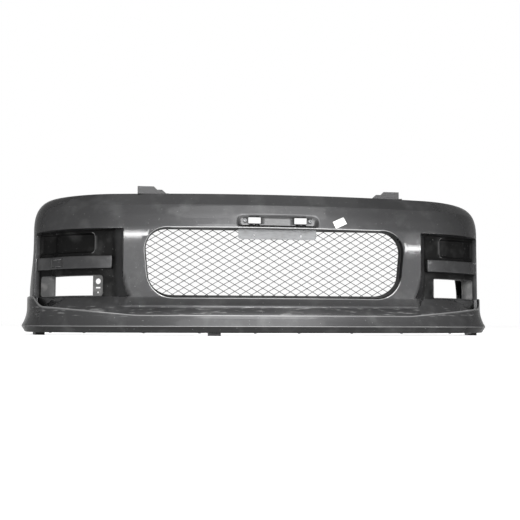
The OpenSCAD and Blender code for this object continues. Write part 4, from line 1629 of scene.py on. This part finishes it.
    def skin_points(self, sheet: FlatSheet) -> Array:
        """Points of the flat sheet, brought to their places.

        Args:
            sheet: The flat sheet.

        Returns:
            The points, one in each row.
        """
        s, run = sheet.places.T
        z = self.height_at(run)
        flange = np.maximum(np.abs(s) - self.plan.full_length, 0)
        between = smooth_step(z, *self.flange_foot) * (1 - smooth_step(z, *self.flange_head))
        turned = flange * (self.flange_least + (1 - self.flange_least) * between)
        e = self.out(s, run) - sheet.depths - turned + self.plan.swell(s, z)
        return self.plan.points(self.plan.warped(s, z), e, z)

    def wall_rings(self) -> dict[str, list[Array]]:
        """Rings of the walls behind the grille and the lamp openings.

        Returns:
            The rings behind each opening, by its name.
        """
        walls = {"grille": self.grille.return_rings(self.plan)}
        for side in Side:
            s, z = self.lamp.loop(side).T
            walls[side.named("lamp")] = self.lamp.rings(side, self.out(s, self.run_at(z)))
        return walls

    def build(self) -> Piece:
        """Makes the skin as one sheet with a thickness, painted outside and bare inside.

        Returns:
            The skin.
        """
        sheet = self.flat_mesh()
        s, run = sheet.places.T
        points = self.skin_points(sheet)
        faces = list(sheet.faces)
        surfaces = []
        # Painted shade in the recesses; faces with enough of it take the shaded paint.
        dark = self.recess.painted_shade_share(s, self.height_at(run))
        for face in sheet.faces:
            surfaces.append(Surface.SHADED if dark[face].mean() > self.shaded_from else Surface.PAINTED)
        for name, rings in self.wall_rings().items():
            near = sheet.rings[name]
            for ring in rings:
                far = list(range(len(points), len(points) + len(ring)))
                points = np.vstack([points, ring])
                faces += ring_faces(near, far)
                # The grille's return walls take the near-black inside finish.
                surfaces += [Surface.BARE if name == "grille" else Surface.LAMP_WALL] * len(ring)
                near = far
        piece = mesh_piece("cover_skin", points, faces)
        behind = np.zeros(len(points) - len(s))
        piece.data.polygons.foreach_set("material_index", np.array(surfaces, dtype=np.int32))
        # Painted shade, then painted highlights with a little pale wear, for the paint to read.
        carry(piece, "recess", np.concatenate([dark, behind]))
        carry(piece, "rubbed", np.concatenate([self.rubbed_share(sheet), behind]))
        face_outward(piece)
        thicken(piece, self.wall, finish_step=1)
        return piece


@dataclass
class LipSkin:
    """Spoiler under the cover, with a top edge that rises at both ends.

    Attributes:
        stand: Distance out of the wall at its top.
        tip: Distance out and height of the front edge.
        lower: Distance out, height and radius of each corner under the front edge.
        tip_row: Rows of the grid from the flared wall's end to the front edge.
        edge_rows: First row of the rounded top edge, and the first one below it.
        rise: Place across and height of each bend of the top edge.
        smoothing: Grid lines over which those bends are softened.
        turn_in: Width of the top edge in the middle, with more at the ends.
    """

    plan: PlanLine = field(default_factory=PlanLine)
    wall: float = 3.5
    stand: float = 9.0
    tip: Pair = (29.0, 32.0)
    tip_radius: float = 5.0
    tip_row: int = 3
    flare_top: float = 100.0
    flare_steps: int = 8
    lower: Triples = ((16, 10, 4), (-35.5, 10, 0))
    rise: Pairs = ((0, 69), (470, 69), (792, 100), (822, 137), (900, 137))
    smoothing: int = 5
    blend_height: float = 46.0
    edge_radius: float = 1.5
    edge_middle: float = 0.45
    edge_rows: tuple[int, int] = (1, 4)
    turn_in: float = 3.0
    turn_in_more: float = 5.2
    turn_in_heights: Pair = (118.0, 128.0)
    line_turns: Pair = (60.0, 74.0)
    spacing: float = 9.0
    sharp: float = 50.0
    # Painted highlight on the top edge and the front edge, and painted shade under the front edge.
    rubbed: float = 0.6
    underside_shade: float = 0.6

    def flare(self, z: Array) -> Array:
        """Distance out of the upper wall, an arc from its top to the front edge.

        Args:
            z: Heights.

        Returns:
            The distances.
        """
        gain = self.tip[0] - self.stand
        drop = self.flare_top - self.tip[1]
        radius = (gain**2 + drop**2) / (2 * gain)
        below = np.clip(self.flare_top - z, 0, drop)
        return self.stand + radius - np.sqrt(radius**2 - below**2)

    def length_lines(self) -> Array:
        """Grid lines across the length, for both sides.

        Returns:
            Lengths along the plan line.
        """
        plan = self.plan
        marks = [0.0, plan.front_length, plan.side_start, plan.full_length]
        marks += [plan.at_turn(turn) for turn in self.line_turns]
        half = grid_lines(marks, self.spacing)
        return np.concatenate([-half[:0:-1], half])

    def top_edge(self, s: Array) -> Array:
        """Height of the top edge, with its bends softened.

        Args:
            s: Lengths along the plan.

        Returns:
            The heights.
        """
        x = np.abs(self.plan.points(s, np.full(len(s), self.stand), s)[:, 0])
        top = np.interp(x, *np.array(self.rise).T)
        window = np.ones(self.smoothing) / self.smoothing
        return np.convolve(np.pad(top, self.smoothing // 2, mode="edge"), window, mode="valid")

    def upper_rows(self, top: Array) -> list[tuple[Array, Array]]:
        """Rows of the rounded top edge and of the flared wall under it.

        Args:
            top: Height of the top edge at each length.

        Returns:
            Distances out and heights of each row.
        """
        turn_in = self.turn_in + self.turn_in_more * smooth_step(top, *self.turn_in_heights)
        edge = self.flare(top)
        radius = self.edge_radius
        rows = [(edge - turn_in, top), (edge - radius, top)]
        rows += [(edge - self.edge_middle, top - self.edge_middle), (edge, top - radius)]
        for k in range(1, self.flare_steps + 1):
            z = top - radius + (self.blend_height - top + radius) * k / self.flare_steps
            rows.append((self.flare(z), z))
        return rows

    def build(self) -> Piece:
        """Makes the lip as one sheet with a thickness.

        Returns:
            The lip.
        """
        plan = self.plan
        s = self.length_lines()
        rows = self.upper_rows(self.top_edge(s))
        start = float(self.flare(np.array(self.blend_height)))
        below = rounded_line([(start, self.blend_height, 0), (*self.tip, self.tip_radius), *self.lower])
        tip = len(rows) + self.tip_row
        rows += [(np.full(len(s), e), np.full(len(s), z)) for e, z in below[1:]]
        points = np.vstack([plan.points(plan.warped(s, z), e + plan.swell(s, z), z) for e, z in rows])
        piece = mesh_piece("lip_skin", points, grid_faces(len(rows), len(s)), self.sharp)
        # Painted highlights on the rounded top edge and on the front edge.
        rubbed = np.zeros((len(rows), len(s)))
        rubbed[slice(*self.edge_rows)] = self.rubbed
        rubbed[tip : tip + 2] = self.rubbed
        # Painted shade under the front edge.
        shade = np.zeros((len(rows), len(s)))
        shade[tip + 2 :] = self.underside_shade
        carry(piece, "rubbed", rubbed.ravel())
        carry(piece, "recess", shade.ravel())
        face_outward(piece)
        thicken(piece, self.wall, finish_step=1)
        return piece


# Pieces that repeat


class Repeater:
    """Geometry Nodes tree that sets a unit on each point and turns it to the point's axis."""

    def __init__(self) -> None:
        """Builds the tree."""
        self.tree = bpy.data.node_groups.new("units_on_points", "GeometryNodeTree")
        face = self.tree.interface
        face.new_socket("Places", in_out="INPUT", socket_type="NodeSocketGeometry")
        self.unit = face.new_socket("Unit", in_out="INPUT", socket_type="NodeSocketObject")
        self.finish = face.new_socket("Finish", in_out="INPUT", socket_type="NodeSocketMaterial")
        self.wobble = face.new_socket("Wobble", in_out="INPUT", socket_type="NodeSocketFloat")
        face.new_socket("Pieces", in_out="OUTPUT", socket_type="NodeSocketGeometry")
        nodes = self.tree.nodes
        start = nodes.new("NodeGroupInput")
        end = nodes.new("NodeGroupOutput")
        axis = nodes.new("GeometryNodeInputNamedAttribute")
        axis.data_type = "FLOAT_VECTOR"
        axis.inputs["Name"].default_value = "axis"
        turn = nodes.new("FunctionNodeAlignRotationToVector")
        turn.axis = "Z"
        spin = nodes.new("FunctionNodeRandomValue")
        spin.data_type = "FLOAT"
        spin.inputs["Seed"].default_value = SEED
        about = nodes.new("FunctionNodeAxisAngleToRotation")
        about.inputs["Axis"].default_value = (0, 0, 1)
        both = nodes.new("FunctionNodeRotateRotation")
        both.rotation_space = "LOCAL"
        info = nodes.new("GeometryNodeObjectInfo")
        setter = nodes.new("GeometryNodeInstanceOnPoints")
        real = nodes.new("GeometryNodeRealizeInstances")
        paint = nodes.new("GeometryNodeSetMaterial")
        numbers = [o for o in spin.outputs if o.type == "VALUE"]
        limits = [i for i in spin.inputs if i.name == "Max" and i.type == "VALUE"]
        links = (
            (start.outputs["Places"], setter.inputs["Points"]),
            (start.outputs["Unit"], info.inputs["Object"]),
            (start.outputs["Wobble"], limits[0]),
            (info.outputs["Geometry"], setter.inputs["Instance"]),
            (axis.outputs["Attribute"], turn.inputs["Vector"]),
            (numbers[0], about.inputs["Angle"]),
            (turn.outputs["Rotation"], both.inputs["Rotation"]),
            (about.outputs["Rotation"], both.inputs["Rotate By"]),
            (both.outputs["Rotation"], setter.inputs["Rotation"]),
            (setter.outputs["Instances"], real.inputs["Geometry"]),
            (real.outputs["Geometry"], paint.inputs["Geometry"]),
            (start.outputs["Finish"], paint.inputs["Material"]),
            (paint.outputs["Geometry"], end.inputs["Pieces"]),
        )
        for source, target in links:
            self.tree.links.new(source, target)

    def spread(self, name: str, unit: Piece, sites: Sequence[tuple[Array, Array]],
               finish: Material, wobble: float = 0.0) -> Piece:
        """Sets a unit on every site.

        Args:
            name: Name of the new piece.
            unit: The unit, along +Z at the origin. It is removed afterwards.
            sites: Place in millimetres and axis of each copy.
            finish: Material of the piece.
            wobble: Largest turn of a copy about its own axis, in radians.

        Returns:
            One plain mesh object with all copies.
        """
        piece = mesh_piece(name, np.array([place for place, _ in sites]), [])
        axes = piece.data.attributes.new("axis", "FLOAT_VECTOR", "POINT")
        axes.data.foreach_set("vector", np.array([axis for _, axis in sites], dtype=float).ravel())
        modifier = piece.modifiers.new("units", "NODES")
        modifier.node_group = self.tree
        modifier[self.unit.identifier] = unit
        modifier[self.finish.identifier] = finish
        modifier[self.wobble.identifier] = wobble
        graph = bpy.context.evaluated_depsgraph_get()
        made = bpy.data.meshes.new_from_object(piece.evaluated_get(graph))
        piece.modifiers.remove(modifier)
        piece.data = made
        smooth_edges(made, SHARP)
        bpy.data.objects.remove(unit)
        return piece


def stacked(name: str, rings: Sequence[Array], endless: bool = False) -> Piece:
    """A solid from closed rings, with flat ends, or with its last ring joined to its first.

    Args:
        name: Name of the object.
        rings: Points of each ring, all with the same count.
        endless: True where it has no ends.

    Returns:
        The object.
    """
    count = len(rings[0])
    numbers = [range(k * count, (k + 1) * count) for k in range(len(rings))]
    following = [*numbers[1:], numbers[0]] if endless else numbers[1:]
    ends = [] if endless else [numbers[0][::-1], numbers[-1]]
    faces = [face for near, far in zip(numbers, following) for face in ring_faces(near, far)]
    return mesh_piece(name, np.vstack(rings), [*faces, *ends])


@dataclass(frozen=True)
class Screw:
    """Pan-head screw with a cross recess, or a rivet with a plain dome.

    Attributes:
        point: Radius of the shank's end, as a share of the shank's.
        point_length: Length of that taper, as a share of the shank's radius.
        dome: Shares of the head's radius and height at each of its rings.
        cross_middle: The same for the cross recess.
        plain_middle: The same for a plain top.
    """

    radius: float
    length: float
    head: float
    head_height: float
    cross: bool = True
    sides: int = 24
    point: float = 0.6
    point_length: float = 0.5
    dome: Pairs = ((1.0, 0.0), (1.0, 0.35), (0.95, 0.62), (0.82, 0.83), (0.6, 0.95))
    cross_middle: Pairs = ((0.45, 0.99), (0.36, 0.55), (0.1, 0.5))
    plain_middle: Pairs = ((0.2, 1.0),)
    arm_least: float = 0.35
    arm_gain: float = 0.85
    arm_power: int = 3

    def unit(self) -> Piece:
        """Makes one fastener, with its head above the origin and its shank below.

        Returns:
            The fastener.
        """
        tip = (self.radius * self.point, -self.length)
        shank = [tip, (self.radius, -self.length + self.radius * self.point_length), (self.radius, 0.0)]
        middle = self.cross_middle if self.cross else self.plain_middle
        head = [(self.head * r, self.head_height * h) for r, h in (*self.dome, *middle)]
        turns = np.linspace(0, 2 * math.pi, self.sides, endpoint=False)
        x, y = np.cos(turns), np.sin(turns)
        rings = [np.column_stack([r * x, r * y, np.full(self.sides, h)]) for r, h in (*shank, *head)]
        unit = stacked("fastener_unit", rings)
        if self.cross:
            self.cut_cross(unit.data, len(shank) + len(self.dome))
        return unit

    def cut_cross(self, mesh: bpy.types.Mesh, ring: int) -> None:
        """Draws the recess's rings out into a cross with four arms.

        Args:
            mesh: Mesh of the unit.
            ring: Number of the recess's first ring.
        """
        for k in range(self.sides):
            arm = abs(math.cos(4 * math.pi * k / self.sides)) ** self.arm_power
            share = self.arm_least + self.arm_gain * arm
            for level in (ring, ring + 1):
                vertex = mesh.vertices[level * self.sides + k]
                vertex.co.x *= share
                vertex.co.y *= share


@dataclass
class Fasteners:
    """Every screw and rivet of the part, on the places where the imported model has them."""

    plan: PlanLine = field(default_factory=PlanLine)
    ring_screw: Screw = Screw(2.0, 11.0, 4.0, 2.4)
    lamp_screw: Screw = Screw(2.0, 6.0, 4.0, 2.4)
    lip_screw: Screw = Screw(2.5, 12.5, 5.0, 2.5)
    foot_screw: Screw = Screw(2.5, 14.5, 5.0, 2.5)
    plate_rivet: Screw = Screw(2.4, 5.0, 4.8, 2.4, False)
    upper_rivet: Screw = Screw(2.4, 5.5, 4.8, 2.4, False)
    ring_depth: float = 97.0
    ring_sites: Pairs = (
        (-340, 118), (0, 118), (340, 118), (-340, 367), (0, 367), (340, 367), (-445.5, 242.5), (445.5, 242.5))
    lamp_sites: Pairs = ((17.2, 144), (17.2, 192), (45.2, 210), (63.0, 210))
    lamp_out: float = -54.05
    lip_front_turns: Numbers = (1.8667, 6.5333, 11.2)
    lip_corner_turns: Numbers = (30.0, 58.0)
    lip_out: float = -22.0
    lip_height: float = 10.0
    foot_turn: float = 78.75
    foot_x: float = -213.0
    foot_out: float = -18.0
    foot_height: float = 5.0
    plate_rivets: Pairs = ((-99.75, 42.4), (0, 42.4), (99.75, 42.4))
    plate_height: float = 356.0
    upper_rivets: Pairs = ((382, 139), (444, 139))
    upper_height: float = 479.0

    def on_plan(self, s: float, e: float, z: float) -> Array:
        """One point given by its length, its distance out and its height."""
        return self.plan.points(np.array([s]), np.array([e]), np.array([z]))[0]

    def by_depth(self, x: float, depth: float, z: float) -> Array:
        """One point given by its place across, its depth and its height."""
        return np.array([x, depth - self.plan.front_depth, z])

    def sites(self) -> dict[str, tuple[Screw, list[tuple[Array, Array]], str]]:
        """Places every group of fasteners.

        Returns:
            Fastener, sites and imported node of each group, by the new piece's name.
        """
        down = np.array([0.0, 0.0, -1.0])
        back = np.array([0.0, 1.0, 0.0])
        plan = self.plan
        ring = [(self.by_depth(x, self.ring_depth, z), back) for x, z in self.ring_sites]
        lamps = []
        lips = []
        foot_lengths = [float(plan.at_x(self.foot_x))]
        uppers = []
        for side in Side:
            for turn, z in self.lamp_sites:
                angle = math.radians(turn)
                inward = np.array([-side * math.sin(angle), math.cos(angle), 0.0])
                lamps.append((self.on_plan(side * plan.at_turn(turn), self.lamp_out, z), inward))
            lengths = [plan.front_radius * math.radians(turn) for turn in self.lip_front_turns]
            lengths += [plan.at_turn(turn) for turn in self.lip_corner_turns]
            lips += [(self.on_plan(side * s, self.lip_out, self.lip_height), down) for s in lengths]
            foot_lengths.append(side * plan.at_turn(self.foot_turn))
            uppers += [(self.by_depth(side * x, d, self.upper_height), down) for x, d in self.upper_rivets]
        feet = [(self.on_plan(s, self.foot_out, self.foot_height), down) for s in foot_lengths]
        plates = [(self.by_depth(x, d, self.plate_height), down) for x, d in self.plate_rivets]
        return {
            "ring_screws": (self.ring_screw, ring, "mesh_screws"),
            "lamp_screws": (self.lamp_screw, lamps, "fog_bracket_screws"),
            "lip_screw_set": (self.lip_screw, lips, "lip_screws"),
            "foot_screw_set": (self.foot_screw, feet, "foot_screws"),
            "plate_rivet_set": (self.plate_rivet, plates, "plate_bracket_rivets"),
            "upper_rivet_set": (self.upper_rivet, uppers, "upper_bracket_rivets"),
        }

    def build(self, repeater: Repeater, finishes: Finishes) -> None:
        """Makes every group of fasteners and hands it to the frame.

        Args:
            repeater: Tree that sets the units.
            finishes: Materials of the part.
        """
        for name, (screw, sites, node) in self.sites().items():
            wobble = math.pi if screw.cross else 0.0
            piece = repeater.spread(name, screw.unit(), sites, finishes.steel, wobble)
            place_piece(piece, Body.COVER, [finishes.steel], [node])


@dataclass
class GrilleMesh:
    """Diamond mesh behind the grille opening, strand by strand, with its solid edge.

    Attributes:
        grow: Distance of its outer edge outside the opening's outline.
        edge: Width of the solid edge.
        section: Corners of a strand's section, as shares of its half width and half thickness.
        girths: Place along the strand and share of its width there.
    """

    plan: PlanLine = field(default_factory=PlanLine)
    outline: GrilleOpening = field(default_factory=GrilleOpening)
    width: float = 38.5
    height: float = 23.0
    strand: float = 2.6
    thickness: float = 2.0
    depth: float = 93.0
    grow: float = 15.5
    edge: float = 3.5
    section: Pairs = (
        (1.0, 0.0), (0.7, 0.8), (0.0, 1.0), (-0.7, 0.8), (-1.0, 0.0), (-0.7, -0.8), (0.0, -1.0), (0.7, -0.8))
    girths: Pairs = ((-1.0, 1.0), (-0.6, 0.92), (0.0, 0.86), (0.6, 0.92), (1.0, 1.0))

    def unit(self) -> Piece:
        """Makes one strand along Z, a little thinner in its middle.

        Returns:
            The strand.
        """
        half = math.hypot(self.width, self.height) / 4 + self.strand / 3
        wide, thick = np.array(self.section).T
        rings = []
        for share, girth in self.girths:
            z = np.full(len(wide), share * half)
            rings.append(np.column_stack([wide * girth * self.strand / 2, thick * self.thickness / 2, z]))
        return stacked("strand_unit", rings)

    def sites(self) -> list[tuple[Array, Array]]:
        """Places every strand inside the mesh's edge.

        Returns:
            Middle and direction of each strand.
        """
        middle = (self.outline.low + self.outline.high) / 2
        columns = math.ceil(self.outline.half_top * 2 / self.width) + 2
        rows = math.ceil((self.outline.high - self.outline.low) / self.height) + 2
        starts = []
        ends = []
        for i in range(-columns, columns + 1):
            for j in range(-rows, rows + 1):
                if (i + j) % 2:
                    here = np.array([i * self.width / 2, middle + j * self.height / 2])
                    for side in Side:
                        starts.append(here)
                        ends.append(here + np.array([side * self.width / 2, self.height / 2]))
        starts = np.array(starts)
        ends = np.array(ends)
        border = self.outline.loop(self.grow)
        inside = is_inside(starts, border) & is_inside(ends, border)
        y = self.depth - self.plan.front_depth
        sites = []
        for a, b in zip(starts[inside], ends[inside]):
            place = np.array([(a[0] + b[0]) / 2, y, (a[1] + b[1]) / 2])
            sites.append((place, np.array([b[0] - a[0], 0.0, b[1] - a[1]])))
        return sites

    def border(self) -> Piece:
        """Makes the solid edge as a flat closed ring.

        Returns:
            The edge.
        """
        outer = self.outline.loop(self.grow)
        inner = self.outline.loop(self.grow - self.edge)
        rings = []
        for loop, shift in ((outer, -1), (inner, -1), (inner, 1), (outer, 1)):
            y = np.full(len(loop), self.depth - self.plan.front_depth + shift * self.thickness / 2)
            rings.append(np.column_stack([loop[:, 0], y, loop[:, 1]]))
        return stacked("mesh_border", rings, endless=True)

    def build(self, repeater: Repeater, finish: Material) -> Piece:
        """Makes strands and edge as one piece.

        Args:
            repeater: Tree that sets the strands.
            finish: Material of the mesh.

        Returns:
            The piece.
        """
        piece = repeater.spread("mesh_strands", self.unit(), self.sites(), finish)
        border = self.border()
        joined = bmesh.new()
        joined.from_mesh(piece.data)
        joined.from_mesh(border.data)
        bmesh.ops.recalc_face_normals(joined, faces=joined.faces)
        joined.to_mesh(piece.data)
        joined.free()
        bpy.data.objects.remove(border)
        return piece


@dataclass
class Label:
    """Blank paper label stuck on the brow beside the plate seat."""

    skin: CoverSkin
    x: float = 214.0
    z: float = 383.0
    width: float = 44.0
    height: float = 25.0
    tilt: float = 24.0
    lift: float = 0.3
    thickness: float = 0.25
    rows: int = 7
    columns: int = 9

    def build(self) -> Piece:
        """Makes the label as a thin sheet that follows the skin.

        Returns:
            The label.
        """
        wide = np.linspace(-0.5, 0.5, self.columns) * self.width
        tall = np.linspace(-0.5, 0.5, self.rows) * self.height
        across, up = np.meshgrid(wide, tall)
        turn = math.radians(self.tilt)
        x = self.x + across * math.cos(turn) - up * math.sin(turn)
        z = (self.z + across * math.sin(turn) + up * math.cos(turn)).ravel()
        s = self.skin.plan.at_x(x).ravel()
        e = self.skin.out(s, self.skin.run_at(z)) + self.lift
        points = self.skin.plan.points(s, e, z)
        piece = mesh_piece("blank_label", points, grid_faces(self.rows, self.columns))
        face_outward(piece)
        thicken(piece, self.thickness)
        return piece


# Stage


@dataclass(frozen=True)
class Softbox:
    """One soft rectangular light that faces a target, in metres and watts."""

    name: str
    place: Triple
    target: Triple
    size: Pair
    power: float

    def hang(self) -> None:
        """Adds the light to the scene, unseen by the camera."""
        lamp = bpy.data.lights.new(self.name, "AREA")
        lamp.shape = "RECTANGLE"
        lamp.size, lamp.size_y = self.size
        lamp.energy = self.power
        holder = bpy.data.objects.new(self.name, lamp)
        aim = Vector(self.target) - Vector(self.place)
        turned = aim.to_track_quat("-Z", "Y").to_matrix().to_4x4()
        holder.matrix_world = Matrix.Translation(self.place) @ turned
        holder.visible_camera = False
        bpy.context.scene.collection.objects.link(holder)


@dataclass(frozen=True)
class Studio:
    """Floor, light, background and camera, in metres, apart from the lens and its sensor in millimetres.

    Attributes:
        ambient: Strength of the background as a light.
        lights: Three soft lights in front and above, and two narrow tubes that glint on the corners.
    """

    lens: float = 66.74
    sensor: float = 36.0
    clip_end: float = 200.0
    eye: Triple = (-0.552, -3.4355, 0.040)
    yaw: float = 8.8
    pitch: float = 3.8
    roll: float = 0.17
    ambient: float = 0.35
    floor_size: float = 60.0
    floor_finish: GrainFinish = GrainFinish(
        "pale_floor", (0.90, 0.90, 0.90), (0.94, 0.94, 0.94), (0.85, 0.95), 0.1, dust_share=0.0,
        clouds=Pattern(2, 3), grain=Pattern(40, 2), lift=0.62)
    lights: tuple[Softbox, ...] = (
        Softbox("front_light", (0.3, -3.4, 1.5), (0, 0, 0.35), (2.0, 2.0), 130.0),
        Softbox("high_light", (0.2, -2.4, 3.2), (0, 0, 0.35), (2.4, 1.4), 55.0),
        Softbox("top_light", (0.0, 0.2, 3.0), (0, 0, 0.3), (2.5, 1.0), 6.0),
        Softbox("left_tube", (-1.68, -3.2, 0.632), (-0.5, -0.2, 0.34), (1.4, 0.024), 20.0),
        Softbox("right_tube", (2.88, -2.60, 0.566), (0.5, -0.2, 0.35), (0.9, 0.024), 13.0),
    )

    def camera(self) -> None:
        """Sets the camera at the photograph's place."""
        yaw, pitch, roll = (math.radians(a) for a in (self.yaw, self.pitch, self.roll))
        ahead = Vector((math.sin(yaw) * math.cos(pitch), math.cos(yaw) * math.cos(pitch), math.sin(pitch)))
        right = Vector((math.cos(yaw), -math.sin(yaw), 0))
        up = right.cross(ahead)
        level_right = right * math.cos(roll) + up * math.sin(roll)
        level_up = up * math.cos(roll) - right * math.sin(roll)
        lens = bpy.data.cameras.new("photo_view")
        lens.lens = self.lens
        lens.sensor_width = self.sensor
        lens.clip_end = self.clip_end
        holder = bpy.data.objects.new("photo_view", lens)
        axes = Matrix((level_right, level_up, -ahead)).transposed().to_4x4()
        holder.matrix_world = Matrix.Translation(self.eye) @ axes
        bpy.context.scene.collection.objects.link(holder)
        bpy.context.scene.camera = holder

    def backdrop(self) -> None:
        """Makes the background white for what is seen and mirrored, and softer as a light."""
        world = bpy.data.worlds.new("white_room")
        bpy.context.scene.world = world
        world.use_nodes = True
        nodes = world.node_tree.nodes
        links = world.node_tree.links
        nodes.clear()
        level = nodes.new("ShaderNodeMapRange")
        level.inputs["To Min"].default_value = self.ambient
        links.new(seen_share(world.node_tree), level.inputs["Value"])
        shine = nodes.new("ShaderNodeBackground")
        links.new(level.outputs["Result"], shine.inputs["Strength"])
        shine.inputs["Color"].default_value = (1, 1, 1, 1)
        end = nodes.new("ShaderNodeOutputWorld")
        links.new(shine.outputs["Background"], end.inputs["Surface"])

    def floor(self) -> None:
        """Lays the pale floor, which looks white and keeps the part's shadow."""
        half = self.floor_size / 2 / MM
        points = np.array([(-half, -half, 0), (half, -half, 0), (half, half, 0), (-half, half, 0)])
        plate = mesh_piece("floor", points, [(0, 1, 2, 3)])
        plate.data.materials.append(self.floor_finish.material())

    def build(self) -> None:
        """Sets the whole stage."""
        self.camera()
        for light in self.lights:
            light.hang()
        self.backdrop()
        self.floor()
        bpy.context.scene.view_settings.view_transform = "Standard"


def dress_nodes(frame: dict, finishes: Finishes) -> None:
    """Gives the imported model's own nodes their finishes.

    Args:
        frame: The loaded frame.
        finishes: Materials of the part.
    """
    record = frame["record"]
    slots = {row["node"]: Slot(row["material_slot"]) for row in record["subparts"]}
    bodies = {node: Body(body) for body, nodes in record["behaviour"]["bodies"].items() for node in nodes}
    for name, node in frame["nodes"].items():
        material = finishes.bracket if name in LAMP_BRACKETS else finishes.of(slots[name])
        for holder in node.material_slots:
            holder.material = material
        LOG.info("%s on %s: %s", name, bodies[name].value, material.name)


def main() -> None:
    """Builds the looks of the part on its frame."""
    logging.basicConfig(level=logging.INFO, format="%(message)s")
    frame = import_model()
    finishes = Finishes.make()
    dress_nodes(frame, finishes)
    skin = CoverSkin()
    by_surface = {Surface.PAINTED: finishes.paint, Surface.BARE: finishes.bare,
                  Surface.SHADED: finishes.shaded, Surface.LAMP_WALL: finishes.bracket}
    surfaces = [by_surface[surface] for surface in Surface]
    place_piece(skin.build(), Body.COVER, surfaces, ["bumper_cover"])
    place_piece(LipSkin().build(), Body.COVER, [finishes.paint, finishes.bare], ["lip_spoiler"])
    repeater = Repeater()
    strands = GrilleMesh().build(repeater, finishes.mesh)
    place_piece(strands, Body.COVER, [finishes.mesh], ["grille_mesh"])
    Fasteners().build(repeater, finishes)
    place_piece(Label(skin).build(), Body.COVER, [finishes.paper])
    Studio().build()


if __name__ == "__main__":
    main()
